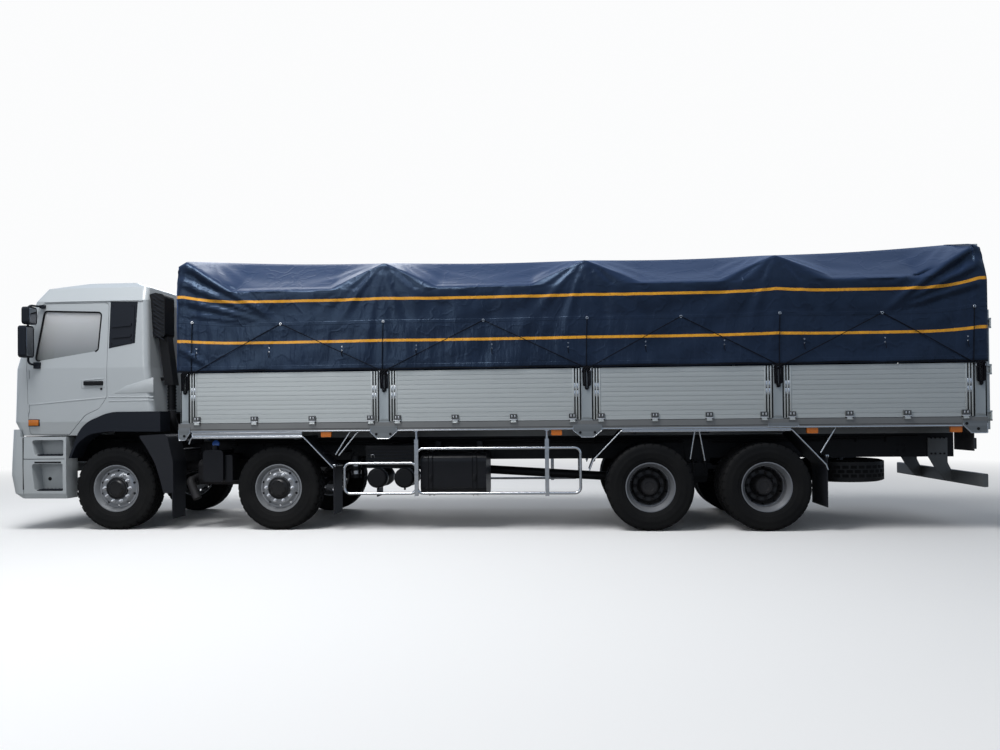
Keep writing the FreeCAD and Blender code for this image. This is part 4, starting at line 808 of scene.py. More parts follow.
def rounded_route(points: Sequence[Vector], bend: float, steps: int = 6) -> list[Vector]:
    """Corners of a route replaced by arcs of one radius.

    Args:
        points: the route's corners.
        bend: radius of the arcs; 0 leaves the corners sharp.
        steps: points along each arc.

    Returns:
        The route's points.
    """
    if bend <= 0:
        return list(points)
    route = [points[0]]
    for before, corner, after in zip(points, points[1:], points[2:]):
        back, ahead = (before - corner).normalized(), (after - corner).normalized()
        half = back.angle(ahead) / 2
        reach = min(bend / tan(half), (before - corner).length * 0.49, (after - corner).length * 0.49)
        start, end = corner + back * reach, corner + ahead * reach
        for step in range(steps + 1):
            t = step / steps
            route.append(start * (1 - t) ** 2 + corner * 2 * t * (1 - t) + end * t ** 2)
    route.append(points[-1])
    return route


@dataclass
class Wheels:
    """Tyres with their tread, wheel nuts and hub caps."""

    bench: Bench
    width: float = 0.282
    bead: float = 0.288
    crown_radius: float = 0.5225
    grooves: tuple[float, ...] = (-0.084, -0.028, 0.028, 0.084)
    groove_depth: float = 0.014
    shoulder_foot: float = 0.487
    lane: float = 0.056
    steps: int = 132
    nut_circle: float = 0.1675
    nuts: int = 10
    bolt_circle: float = 0.08
    bolts: int = 8
    steer_face: float = 1.118
    drive_face: float = 0.9515
    steer_cap: Outline = (
        (1.118, 0.1385), (1.136, 0.1385), (1.144, 0.132), (1.148, 0.118), (1.148, 0.098), (1.156, 0.092),
        (1.158, 0.070), (1.154, 0.062), (1.154, 0.0))
    drive_cap: Outline = (
        (0.951, 0.1385), (0.985, 0.1385), (1.0, 0.122), (1.075, 0.105), (1.086, 0.098), (1.086, 0.092),
        (1.094, 0.088), (1.097, 0.060), (1.092, 0.054), (1.092, 0.0))

    def profile(self) -> list[Flat]:
        """(Axial, radius) line of the tyre from one bead over the tread to the other."""
        half = self.width / 2
        side = [(0.107, self.bead), (0.109, 0.297), (0.116, 0.302), (0.121, 0.316), (0.124, 0.318),
                (0.126, 0.330), (0.131, 0.345), (0.132, 0.348), (0.1345, 0.349), (0.137, 0.372),
                (0.1395, 0.400), (half, 0.410), (half, 0.425), (half - 0.001, 0.428), (half - 0.001, 0.450),
                (half - 0.004, 0.468), (half - 0.0035, 0.474), (half - 0.009, 0.492), (half - 0.013, 0.506),
                (half - 0.022, 0.518)]
        crown = [(-half + 0.030, self.crown_radius)]
        land, floor = TYRE_RADIUS - 0.0005, TYRE_RADIUS - self.groove_depth
        for y in self.grooves:
            crown += [(y - 0.008, land), (y - 0.005, floor), (y + 0.005, floor), (y + 0.008, land)]
        crown += [(half - 0.030, self.crown_radius)]
        return [(-along, radius) for along, radius in side] + crown + side[::-1]

    def where(self, centre: Vector) -> tuple[int, float]:
        """Step round the tyre and radius at which a face lies."""
        angle = atan2(centre.x, centre.z) + pi + 1e-4
        return int(angle / (2 * pi / self.steps)), hypot(centre.x, centre.z)

    def tread_ring(self) -> Piece:
        """Tyre with sidewall ribs, tread grooves and shoulder slots, centred on the origin."""
        ring = self.bench.lathe("tyre_ring", self.profile(), self.steps)

        def shoulder_slot(centre: Vector, normal: Vector) -> bool:
            """Whether a face is sunk as a slot of the shoulder."""
            step, reach = self.where(centre)
            return step % 4 == 0 and abs(centre.y) > 0.092 and reach > self.shoulder_foot

        def block_gap(centre: Vector, normal: Vector) -> bool:
            """Whether a face is sunk as a gap between two blocks of the tread."""
            step, reach = self.where(centre)
            lane = int((centre.y + 0.2) / self.lane)
            return (step + lane * 2) % 4 == 1 and abs(centre.y) < 0.080 and reach > 0.520

        for test, depth in ((shoulder_slot, -0.009), (block_gap, -0.006)):
            if self.bench.pick(ring, test):
                bpy.ops.mesh.extrude_region_shrink_fatten(TRANSFORM_OT_shrink_fatten={"value": depth})
            self.bench.leave()
        return ring

    def place_tyres(self) -> None:
        """Puts a tyre over each CAD tyre, turns the CAD ones off, and lays one flat as the spare."""
        ring = self.tread_ring()
        for number, x in enumerate(AXLES, start=1):
            planes = (STEER_TRACK,) if number <= STEERED else TWIN_PLANES
            for side in Side:
                name = f"tread_{number}_{side.word}"
                spots = [Matrix.Translation((x, side.value * y, TYRE_RADIUS)) for y in planes]
                copies = [self.bench.copy(ring, f"{name}_{n}", spot) for n, spot in enumerate(spots)]
                piece = self.bench.join(copies, name)
                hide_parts(f"tyre_{number}_{side.word}")
                self.bench.done(piece, f"wheel_{number}_{side.word}", "tyre")
        flat = Matrix.Scale(1.0015, 4) @ Matrix.Rotation(radians(90), 4, "X")
        lay = Matrix.Translation(SPARE_CENTRE) @ flat
        self.bench.done(self.bench.copy(ring, "tread_spare", lay), "root", "tyre")
        bpy.data.objects.remove(ring)

    def nut(self) -> Piece:
        """One wheel nut with its stud and washer, along Y at the origin."""
        return self.bench.join([self.bench.head("nut", (0, 0, 0), 0.006, 0.0235, 20, 0.0015),
                                self.bench.head("nut_body", (0, 0.005, 0), 0.025, 0.0185),
                                self.bench.head("nut_stud", (0, 0.024, 0), 0.022, 0.0105, 12)], "wheel_nut")

    def hub(self, number: int, x: float, nut: Piece) -> None:
        """Nuts and cap of one axle's wheels.

        Args:
            number: the axle's number from the front.
            x: where the axle stands.
            nut: the nut that is copied.
        """
        steered = number <= STEERED
        face = self.steer_face if steered else self.drive_face
        profile = self.steer_cap if steered else self.drive_cap
        ring = []
        for step in range(self.nuts):
            angle = 2 * pi * step / self.nuts
            along, up = self.nut_circle * cos(angle), self.nut_circle * sin(angle)
            spot = Matrix.Translation((x + along, face, TYRE_RADIUS + up))
            ring.append(self.bench.copy(nut, f"nut_{number}_{step}", spot))
        nuts = self.bench.join(ring, f"wheel_nuts_{number}")
        # On the drive axles the nuts take the dark iron finish as painted shade of the deep twin disc.
        self.bench.both(nuts, f"wheel_{number}_{{side}}", "nut" if steered else "iron")
        parts = [self.bench.lathe(f"hub_cap_{number}", profile, 48)]
        for step in range(self.bolts):
            angle = 2 * pi * step / self.bolts
            spot = (self.bolt_circle * cos(angle), profile[5][0], self.bolt_circle * sin(angle))
            parts.append(self.bench.head("cap_bolt", spot, 0.009, 0.009, edge=0.001))
        cap = self.bench.join(parts, f"hub_cap_{number}")
        cap.data.transform(Matrix.Translation((x, 0, TYRE_RADIUS)))
        self.bench.both(cap, f"wheel_{number}_{{side}}", "rubber" if steered else "iron")

    def build(self) -> None:
        """Builds every tyre and hub."""
        self.place_tyres()
        nut = self.nut()
        for number, x in enumerate(AXLES, start=1):
            self.hub(number, x, nut)
        bpy.data.objects.remove(nut)


@dataclass
class Tarpaulin:
    """Cover over the hoops with its folds, and the ropes that hold it down."""

    bench: Bench
    bottom: float = 1.977
    half: float = 1.262
    shoulder: float = 2.97
    front: float = 3.702
    rear: float = -6.05
    corner_y: float = 1.205
    slope_foot: float = 3.012
    peak_reach: float = 0.66
    crown_y: float = 0.6
    crown_rise: float = 0.13
    pitch: float = 0.034
    thickness: float = 0.003
    end_width: float = 2.5
    hoop_gap: float = 0.0078
    inset: float = 0.004
    rear_slope: float = 0.25
    stripe_lifts: tuple[float, ...] = (0.078, 0.012, 0.006, 0.032, 0.105)
    strains: tuple[tuple[Flat, Flat, float, float], ...] = (
        ((3.69, 3.40), (2.39, 2.59), 0.090, 0.065), ((3.69, 3.14), (2.41, 2.575), 0.065, 0.045),
        ((3.69, 2.90), (2.42, 2.565), 0.060, 0.038), ((3.68, 2.73), (2.45, 2.555), 0.045, 0.024),
        ((3.30, 3.38), (2.56, 2.70), 0.060, 0.034), ((3.69, 2.30), (3.24, 2.02), 0.050, 0.040),
        ((-6.03, 3.44), (-4.89, 2.60), 0.085, 0.060), ((-6.03, 3.16), (-4.91, 2.59), 0.065, 0.042),
        ((-6.03, 2.92), (-4.92, 2.58), 0.055, 0.030), ((-5.60, 3.38), (-4.96, 2.84), 0.055, 0.030))
    grommets: tuple[float, ...] = (3.50, 2.374, 1.076, -0.160, -1.420, -2.538, -3.694, -4.875, -5.90)
    grommet_height: float = 2.57
    rope_foot: float = 1.945
    first_lacing: float = 3.45
    lacing_pitch: float = 0.928
    lacings: int = 11
    lacing_heights: tuple[float, float] = (2.275, 2.225)
    eyelet: Outline = ((0.0, 0.009), (0.003, 0.010), (0.003, 0.016), (0.0, 0.018), (0.0, 0.009))
    lace_eyelet: Outline = ((0.0, 0.004), (0.002, 0.005), (0.002, 0.008), (0.0, 0.009), (0.0, 0.004))

    def span_at(self, x: float) -> tuple[int, float, float]:
        """Span number, share of the way along it, and slackness from 0 at a bow to 1 midway."""
        for n, (start, end) in enumerate(zip(POSTS, POSTS[1:])):
            if x >= end:
                share = min(max((start - x) / (start - end), 0.0), 1.0)
                return n, share, 1 - abs(share - 0.5) * 2
        return len(POSTS) - 2, 1.0, 0.0

    def slack(self, x: float) -> float:
        """Slackness of the cloth from 0 at a bow to 1 midway."""
        return self.span_at(x)[2]

    def bow_line(self, x: float) -> float:
        """Height of the straight line from bow corner to bow corner."""
        n, share, _ = self.span_at(x)
        return BOW_CORNERS[n] * (1 - share) + BOW_CORNERS[n + 1] * share

    def peak(self, x: float) -> float:
        """1 at a bow, falling straight to 0 where the cloth reaches its even slope."""
        return max(0.0, 1 - min(abs(x - post) for post in POSTS) / self.peak_reach)

    def corner_height(self, x: float) -> float:
        """Height of the roof's edge, at a peak over each bow and down on the slope between."""
        return self.slope_foot + (self.bow_line(x) - self.slope_foot) * self.peak(x)

    def ridge_height(self, x: float) -> float:
        """Height of the roof's middle."""
        return self.bow_line(x) + self.crown_rise - 0.022 * sin(pi * self.slack(x) / 2)

    def lift(self, x: float) -> float:
        """How far the stripes are pulled up at x."""
        n, share, slack = self.span_at(x)
        pull = self.stripe_lifts[n if share < 0.5 else n + 1]
        return pull * (1 - min(1.0, slack * 1.6)) ** 2

    @staticmethod
    def crest(turn: float) -> float:
        """Ripple from -1 to 1 with sharp crests and round troughs."""
        return 1 - 2 * abs(sin(turn / 2))

    def fan(self, x: float, z: float) -> float:
        """Tension folds that fan down and away from each bow's corner."""
        total = 0.0
        for bow_x, top in zip(POSTS, BOW_CORNERS):
            dx, dz = x - bow_x, top + 0.04 - z
            if dz <= 0.0:
                continue
            reach = hypot(dx, dz)
            angle = atan2(dx, dz)
            fade = exp(-(reach / 0.85) ** 2) * min(1.0, reach / 0.12)
            ripple = self.crest(angle * 15 + bow_x * 3) * 0.6 + self.crest(angle * 27 + bow_x) * 0.4
            total += 0.023 * ripple * fade * min(1.0, abs(angle) * 3.0)
        return total

    def wall(self, x: float, z: float) -> float:
        """How far the side stands out from its flat plane at a height."""
        slack = self.slack(x)
        rise = (z - self.bottom) / (self.shoulder - self.bottom)
        belly = -0.016 * sin(pi * min(max(rise, 0.0), 1.0)) * sin(pi * slack / 2)
        folds = 0.0035 * sin(x * 9.5 + sin(z * 3.1) * 1.4) + 0.0022 * sin(x * 23 + z * 4.0)
        sag = 0.0045 * sin(z * 17 + x * 1.7 + sin(x * 2.3) * 2.0) * (0.4 + 0.6 * slack)
        ends = exp(-((x - self.front) / 0.30) ** 2) + exp(-((x - self.rear) / 0.34) ** 2)
        upright = 0.010 * sin(x * 46 + z * 1.1) * ends * min(1.0, rise * 3 + 0.2)
        tied = sum(exp(-((x - spot) / 0.16) ** 2) for spot in self.grommets)
        tied *= 0.007 * exp(-((z - 2.52) / 0.55) ** 2)
        total = belly + folds + sag + upright - tied + self.fan(x, z) + self.strain(x, z)
        return min(total, self.rear_slope * (x - self.rear))

    def roof_fold(self, x: float, y: float) -> float:
        """Folds on the roof's slope that spread from each bow's crown."""
        total = 0.0
        for bow_x in POSTS:
            dx, dy = x - bow_x, y - 0.55
            angle = atan2(dx, max(dy, 0.02))
            fade = exp(-(hypot(dx, dy) / 0.9) ** 2) * min(1.0, abs(dx) / 0.15)
            total += 0.017 * self.crest(angle * 17 + bow_x) * fade
        return total

    def strain(self, x: float, z: float) -> float:
        """Tight folds that run from the end corners to the first and last ties."""
        total = 0.0
        for (x0, z0), (x1, z1), wide, high in self.strains:
            run = hypot(x1 - x0, z1 - z0)
            ax, az = (x1 - x0) / run, (z1 - z0) / run
            along = (x - x0) * ax + (z - z0) * az
            across = (x - x0) * az - (z - z0) * ax
            share = along / run
            if 0.0 < share < 1.0:
                taper = 1.1 - 0.65 * share
                off = (across / (wide * taper)) ** 2
                total += high * taper * sin(pi * share) ** 0.6 * (1 - 1.5 * off) * exp(-off)
        return total

    def clear_of_hoops(self, x: float, y: float, z: float) -> float:
        """Keeps the side outside the hoops' legs and the rail along the shoulder."""
        near = min(abs(x - post) for post in POSTS)
        held = max(exp(-(near / 0.10) ** 4), exp(-((z - 2.925) / 0.085) ** 4))
        floor = self.half - self.hoop_gap
        return max(y, floor * held + (floor - 0.03) * (1 - held))

    def edge(self, x: float) -> float:
        """Height of the lower edge, scalloped between its ties."""
        near = min(abs(x - spot) for spot in self.grommets)
        wave = 0.004 * sin(x * 5.3) * min(1.0, near / 0.3)
        return self.bottom + 0.004 + wave - 0.006 * exp(-(near / 0.12) ** 2)

    def section(self, x: float) -> list[Flat]:
        """Half of the cloth's (y, z) line across the truck at x, from the lower edge to the ridge."""
        return self.side_line(x) + self.shoulder_line(x) + self.roof_line(x)

    def side_line(self, x: float) -> list[Flat]:
        """The section's upright part, from the lower edge to the shoulder."""
        low, steps, line = self.edge(x), 30, []
        for step in range(steps + 1):
            z = low + (self.shoulder - low) * step / steps
            line.append((self.clear_of_hoops(x, self.half - self.inset + self.wall(x, z), z), z))
        return line

    def shoulder_line(self, x: float) -> list[Flat]:
        """The section's part that leans in from the shoulder to the roof's edge."""
        corner, slack, steps, line = self.corner_height(x), self.slack(x), 10, []
        for step in range(1, steps):
            t = step / steps
            z = self.shoulder + (corner - self.shoulder) * t
            y = self.half - self.inset + (self.corner_y - self.half) * t ** 1.7
            droop = 0.003 * sin(pi * t) * slack
            pulled = self.fan(x, z) * (1 - t * 0.5) + self.strain(x, z) - droop
            pulled = min(pulled, self.rear_slope * (x - self.rear))
            hoop = self.half - self.hoop_gap + (self.corner_y - self.half) * t if slack < 0.12 else 0.0
            line.append((max(y + pulled, hoop), z))
        return line

    def roof_line(self, x: float) -> list[Flat]:
        """The section's part from the roof's edge up its slope and over the crown to the ridge."""
        corner, ridge, slack = self.corner_height(x), self.ridge_height(x), self.slack(x)
        edge_y, crown = self.corner_y - self.inset, ridge - 0.014
        line = [(edge_y, corner - self.inset)]
        for step in range(1, 13):
            t = step / 12
            y = edge_y + (self.crown_y - edge_y) * t
            sag = 0.016 * min(1.0, slack * 3) * sin(pi * t)
            ripple = self.roof_fold(x, y) * sin(pi * min(1.0, t * 1.2)) if t < 0.83 else 0.0
            line.append((y, corner + (crown - corner) * t - sag + ripple))
        for step in range(1, 7):
            t = step / 6
            line.append((self.crown_y * (1 - t), crown + (ridge - crown) * sin(pi / 2 * t)))
        return line

    def sheet_of(self, name: str, rows: list[list[Point]]) -> Piece:
        """Makes a sheet of cloth.

        Args:
            name: the piece's name.
            rows: lines of points, each as long as the first.

        Returns:
            The sheet, with its UV map and thickness.
        """
        wide = len(rows[0])
        faces = [(r * wide + c, r * wide + c + 1, (r + 1) * wide + c + 1, (r + 1) * wide + c)
                 for r in range(len(rows) - 1) for c in range(wide - 1)]
        mesh = bpy.data.meshes.new(name)
        mesh.from_pydata([point for row in rows for point in row], [], faces)
        layer = mesh.uv_layers.new(name="cut")
        for loop in mesh.loops:
            layer.data[loop.index].uv = self.cut_place(mesh.vertices[loop.vertex_index].co)
        piece = add_object(name, mesh)
        self.bench.modify(piece, "SOLIDIFY", thickness=self.thickness, offset=0.0)
        return piece

    def cut_place(self, point: Vector) -> Flat:
        """Place on the cloth: along the truck, and the height its stripes are measured in."""
        rise = min(max((point.z - self.bottom) / (self.shoulder - self.bottom), 0.0), 1.2)
        return point.x, point.z - self.lift(point.x) * rise

    def cover(self) -> None:
        """Sides and roof in one sheet, whose rear edge leans forward above the shoulder."""
        length = self.front - self.rear
        count = round(length / self.pitch)
        rows = []
        for n in range(count + 1):
            x = self.front - length * n / count
            lean = 0.12 if n > count - 4 else 0.0
            row = [(x + lean * max(0.0, z - 2.93), y, z) for y, z in self.section(x)]
            rows.append(row + [(px, -py, pz) for px, py, pz in reversed(row[:-1])])
        piece = self.sheet_of("tarp_cover", rows)
        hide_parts("tarpaulin")
        self.bench.done(piece, "root", "cloth", 180)

    def end_sheet(self, name: str, x: float, low: Callable[[float], float], way: float) -> None:
        """Sheet that closes one end, from a lower line up to the roof.

        Args:
            name: the piece's name.
            x: where it hangs.
            low: height of its lower edge, by the share of the way out to the side.
            way: 1 where it looks forwards and -1 where it looks back.
        """
        border = [(y, z) for y, z in self.section(x) if z > self.bottom]
        side = [(z, y) for y, z in border]
        roof = sorted((y, z) for y, z in border if z > self.shoulder)
        side_y, ups, across = self.half - 0.008, 30, 40
        rows = []
        for r in range(ups + 1):
            row = []
            for c in range(across + 1):
                s = -1 + 2 * c / across
                out = abs(s) * side_y
                top = read_off(roof, out, roof[-1][1] if out > roof[-1][0] else roof[0][1])
                z = low(s) + (top - low(s)) * r / ups
                y = s * min(side_y, read_off(side, z, self.half))
                ripple = abs(0.006 * sin(y * 21 + z * 3) + 0.004 * sin(z * 14 + y * 5))
                row.append((x - way * (ripple * min(1.0, (1 - abs(s)) * 6) + 0.002), y, z))
            rows.append(row)
        piece = self.sheet_of(name, rows)
        self.bench.done(piece, "root", "cloth", 180)

    def tie(self, n: int, y: float) -> tuple[Piece, list[Piece]]:
        """One eyelet with the ropes that leave it, straight at a post and slanted between two.

        Args:
            n: which eyelet, from the front.
            y: where the ropes hang beside the cloth.

        Returns:
            The eyelet and its ropes.
        """
        spot = self.grommets[n]
        z = self.grommet_height + self.lift(spot) * 0.6
        top = (spot, y + self.wall(spot, z), z)
        ring = self.bench.lathe("eyelet", self.eyelet, 16, (spot, top[1] - 0.001, z))
        if n % 2 == 0:
            run = [top, (spot + 0.01, y + 0.004, 2.3), (spot + 0.015, y, self.rope_foot)]
            return ring, [self.bench.tube("tie", run, 0.0045, 0.1)]
        ropes = []
        for way in (-1, 1):
            foot = self.grommets[n + way] - way * 0.03
            middle = ((spot + foot) / 2, y + 0.006, (z + self.rope_foot) / 2)
            ropes.append(self.bench.tube("tie", [top, middle, (foot, y, self.rope_foot)], 0.0045, 0.3))
        return ring, ropes

    def lacing(self, n: int, y: float) -> tuple[list[Piece], Piece]:
        """Two small eyelets over each other and the end of lace that hangs from them."""
        spot = self.first_lacing - self.lacing_pitch * n
        rings = [self.bench.lathe("eyelet", self.lace_eyelet, 12, (spot, y + self.wall(spot, z) - 0.006, z))
                 for z in self.lacing_heights]
        run = [(spot, y - 0.002, self.lacing_heights[1]), (spot + 0.004, y + 0.003, 2.19),
               (spot - 0.006, y, 2.15)]
        return rings, self.bench.tube("lace", run, 0.004, 0.02)

    def edge_rope(self, count: int = 150) -> Piece:
        """Rope sewn along the lower edge."""
        first, last = self.front - 0.02, self.rear + 0.02
        run = []
        for n in range(count + 1):
            x = first + (last - first) * n / count
            low = self.edge(x)
            run.append((x, self.half + self.wall(x, low) + 0.001, low + 0.012))
        return self.bench.tube("edge_rope", run, 0.006)

    def hank(self, post: float) -> list[Piece]:
        """Turns of spare rope tied off on one post."""
        turns = []
        for n in range(3):
            x = post - 0.03 + 0.028 * n
            wide, low = 0.014 + 0.004 * (n % 2), 1.755 - 0.045 * (n % 2)
            top = 1.985
            run = [(x - wide, 1.264, top), (x + wide, 1.270, top - 0.03), (x + wide * 0.5, 1.268, low),
                   (x - wide, 1.266, low + 0.01), (x - wide, 1.264, top)]
            turns.append(self.bench.tube("hank", run, 0.010, 0.02))
        knot = [(post - 0.045, 1.262, 1.945), (post, 1.279, 1.930), (post + 0.05, 1.262, 1.945)]
        turns.append(self.bench.tube("hank", knot, 0.007, 0.03))
        return turns

    def ropes(self) -> None:
        """Taut ropes from the eyelets to the body, the edge rope and the eyelets themselves."""
        lines, rings, hanks = [], [], []
        y = self.half + 0.006
        for n in range(len(self.grommets)):
            ring, ties = self.tie(n, y)
            rings.append(ring)
            lines += ties
        for n in range(self.lacings):
            pair, lace = self.lacing(n, y)
            rings += pair
            lines.append(lace)
        for post in POSTS:
            hanks += self.hank(post)
        lines.append(self.edge_rope())
        self.bench.pair(lines + hanks, "tie_ropes", "root", "rope", 60)
        self.bench.pair(rings, "eyelets", "root", "steel", 40)

    def build(self) -> None:
        """Builds the cover, its two ends and its ropes."""
        self.cover()
        self.end_sheet("tarp_front", self.front - 0.006, lambda s: self.bottom + 0.012, 1.0)
        self.end_sheet("tarp_rear", self.rear + 0.006, lambda s: 2.62 + 0.02 * cos(s * 9), -1.0)
        self.ropes()


@dataclass
class Cab:
    """Seals, creases, lamps, mirrors, wipers, louvres, steps and other fittings of the cab."""

    bench: Bench
    belt: float = 2.06
    gutter: float = 2.925
    belt_half: float = 1.222
    gutter_half: float = 1.160
    step_face: float = 1.2372
    window: Outline = ((5.600, 2.150), (4.766, 2.277), (4.738, 2.770), (5.502, 2.800))
    rear_creases: tuple[Outline, ...] = (
        ((4.622, 1.682), (4.622, 1.697), (4.03, 1.693), (4.03, 1.677)),
        ((4.622, 1.630), (4.622, 1.644), (4.03, 1.650), (4.03, 1.636)),
        ((4.54, 1.734), (4.39, 1.825), (4.03, 1.930), (4.03, 1.738)))
    louvres: int = 11
    louvre_foot: float = 2.46
    louvre_pitch: float = 0.050
    louvre_slant: float = -34.0
    lamp_cup: Outline = (
        (0.0, 0.018), (0.012, 0.034), (0.040, 0.056), (0.046, 0.062), (0.040, 0.064), (-0.004, 0.030),
        (-0.004, 0.0))

    def skin_y(self, z: float) -> float:
        """Half width of the cab's side at a height."""
        if z <= self.belt:
            return self.belt_half - 0.004 * max(0.0, (self.belt - z) / 0.68)
        share = (z - self.belt) / (self.gutter - self.belt)
        return self.belt_half + (self.gutter_half - self.belt_half) * share

    def on_side(self, outline: Sequence[Flat], out: float) -> list[Point]:
        """Points of an XZ outline laid on the cab's side, stood out by a distance."""
        return [(x, self.skin_y(z) + out, z) for x, z in outline]

    def panel(self, name: str, outline: Sequence[Flat], out: float, depth: float) -> Piece:
        """Plate with a given XZ outline that follows the cab's side.

        Args:
            name: the piece's name.
            outline: its corners in XZ.
            out: how far its face stands out from the skin.
            depth: its thickness.

        Returns:
            The plate.
        """
        mesh = bpy.data.meshes.new(name)
        mesh.from_pydata(self.on_side(outline, out), [], [tuple(range(len(outline)))])
        piece = add_object(name, mesh)
        self.bench.edit(piece)
        bpy.ops.mesh.extrude_region_move(TRANSFORM_OT_translate={"value": (0, -depth, 0)})
        self.bench.leave_outward()
        return piece

    def pressed(self, name: str, outline: Sequence[Flat], out: float, depth: float, edge: float,
                segments: int = 2) -> Piece:
        """Panel with its edges rounded."""
        return self.bench.bevel(self.panel(name, outline, out, depth), edge, segments)

    def window_seals(self) -> None:
        """Rubber round the side windows."""
        corners = [Vector((x, 0, z)) for x, z in (*self.window, *self.window[:2])]
        route = rounded_route(corners, 0.05)[1:-1]
        points = self.on_side([(p.x, p.z) for p in route], -0.004)
        self.bench.both(self.bench.tube("window_seal", points, 0.011, 0.0, 2), "door_{side}", "rubber", 50)

    def crease_lines(self) -> None:
        """Pressed lines along the door and over the panel behind it."""
        outline = ((5.69, 1.592), (5.68, 1.610), (4.66, 1.692), (4.66, 1.676))
        line = self.pressed("door_crease", outline, 0.004, 0.006, 0.0025)
        self.bench.both(line, "door_{side}", "white", 60)
        rear = [self.pressed("crease", outline, 0.004, 0.006, 0.0035) for outline in self.rear_creases]
        self.bench.pair(rear, "panel_creases", "cab", "white", 60)

    def handle(self) -> None:
        """Dark door pull over its dished well, with the keyhole below."""
        outline = ((4.985, 1.800), (4.985, 1.912), (4.668, 1.934), (4.668, 1.812))
        well = self.pressed("handle_well", outline, 0.003, 0.004, 0.0015)
        self.bench.both(self.bench.inset(well, looks_out(), 0.012, -0.002), "door_{side}", "white")
        foot, tip = (4.690, self.belt_half - 0.002, 1.838), (4.940, 1.2475, 1.892)
        pull = self.bench.block("pull", foot, tip, 0.008, 3)
        self.bench.both(pull, "door_{side}", "rubber")
        key = self.bench.head("keyhole", (4.715, 1.216, 1.792), 0.0105, 0.015, 24)
        self.bench.both(self.bench.inset(key, looks_out(), 0.004, -0.003), "door_{side}", "rubber")

    def quarter_frame(self) -> None:
        """Dark field round the ribbed panel behind the door, with its bolts."""
        outline = ((4.624, 2.304), (4.624, 2.906), (4.264, 2.898), (4.282, 2.370))
        plate = self.pressed("quarter_frame", outline, 0.002, 0.004, 0.001, 1)
        self.bench.both(plate, "cab", "plastic")
        bolts = [self.bench.head("bolt", (x, self.skin_y(z) + 0.006, z), 0.008, 0.008, 12)
                 for x, z in ((4.33, 2.41), (4.585, 2.365), (4.585, 2.85), (4.33, 2.85))]
        self.bench.pair(bolts, "quarter_bolts", "cab", "rubber", 40)

    def snorkel_ribs(self) -> None:
        """Slanted louvres on the outer face of the air intake's head."""
        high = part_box("intake_snorkel")[1]
        slant = Matrix.Rotation(radians(self.louvre_slant), 4, "Y")
        ribs = []
        for n in range(self.louvres):
            foot = self.louvre_foot + self.louvre_pitch * n
            rib = self.bench.cube("louvre", (high.x - 0.205, high.y - 0.006, foot),
                                  (high.x - 0.02, high.y + 0.002, foot + 0.016))
            pivot = Vector((high.x - 0.11, 0, foot))
            rib.data.transform(Matrix.Translation(pivot) @ slant @ Matrix.Translation(-pivot))
            ribs.append(self.bench.bevel(rib, 0.003))
        self.bench.single(ribs, "snorkel_louvres", "cab", "plastic")

    def step_slots(self) -> None:
        """Dark strips and a disc on the step module: painted shade in its slot, in the gap under the cab and
        in its round hole, and its dark seam lines.
        """
        out = self.step_face
        # The slot, the gap and the hole are dark blocks of painted shade.
        parts = [self.bench.cube("slot", (5.245, 1.19, 0.856), (5.600, out, 0.876)),
                 self.bench.cube("gap", (5.19, 1.19, 1.1905), (5.72, 1.222, 1.199)),
                 self.bench.cube("seam", (5.746, 1.20, 0.52), (5.756, out, 1.180)),
                 self.bench.cube("seam", (5.20, 1.20, 0.905), (5.744, out - 0.0006, 0.912)),
                 self.bench.round("hole", (5.515, 1.056, 0.645), (5.515, 1.064, 0.645), 0.024, 20)]
        self.bench.pair(parts, "step_slots", "root", "rubber")

    def turn_lamps(self) -> None:
        """Amber repeater low on each door, in its bezel."""
        outer = ((5.690, 1.325), (5.690, 1.415), (5.540, 1.415), (5.540, 1.325))
        inner = ((5.682, 1.333), (5.682, 1.407), (5.548, 1.407), (5.548, 1.333))
        bezel = self.pressed("turn_bezel", outer, 0.006, 0.010, 0.004)
        lens = self.pressed("turn_lens", inner, 0.017, 0.012, 0.006, 3)
        self.bench.both(bezel, "door_{side}", "plastic")
        self.bench.both(lens, "door_{side}", "amber")

    def mirrors(self) -> None:
        """Mirror glass set in the rear face of each head."""
        panes = [self.bench.block("pane", (x - 0.004, 1.318, low), (x + 0.010, 1.442, high), 0.012, 3)
                 for x, low, high in ((5.510, 2.623, 2.807), (5.550, 2.208, 2.572))]
        self.bench.pair(panes, "mirror_panes", "door_{side}", "mirror")

    def nose_x(self, y: float, z: float) -> float:
        """How far forward the windscreen stands at a place on it."""
        share = (z - self.belt) / (self.gutter - self.belt)
        return 5.984 + (5.755 - 5.984) * share - 0.5 * y * y / 4.5

    def wipers(self) -> None:
        """Two wipers over the windscreen."""
        parts = []
        for foot, tip in ((0.72, 0.08), (-0.10, -0.74)):
            base = (self.nose_x(foot, 2.10) + 0.020, foot, 2.10)
            end = (self.nose_x(tip, 2.30) + 0.026, tip, 2.30)
            knee = (base[0] + 0.02, foot - 0.05, 2.13)
            parts.append(self.bench.tube("wiper_arm", [base, knee, end], 0.007, 0.04))
            blade = [(tip + d, 2.30 + d * 0.16) for d in (-0.36, -0.18, 0.0, 0.18, 0.36)]
            points = [(self.nose_x(y, z) + 0.014, y, z) for y, z in blade]
            parts.append(self.bench.tube("wiper_blade", points, 0.008))
        self.bench.single(parts, "wipers", "cab", "rubber", 50)

    def gutter_rail(self) -> None:
        """Drip rail over the doors."""
        line = ((5.50, 2.914), (5.2, 2.917), (4.8, 2.917), (4.30, 2.915), (4.20, 2.910))
        self.bench.both(self.bench.tube("drip_rail", self.on_side(line, 0.003), 0.009), "cab", "white", 60)

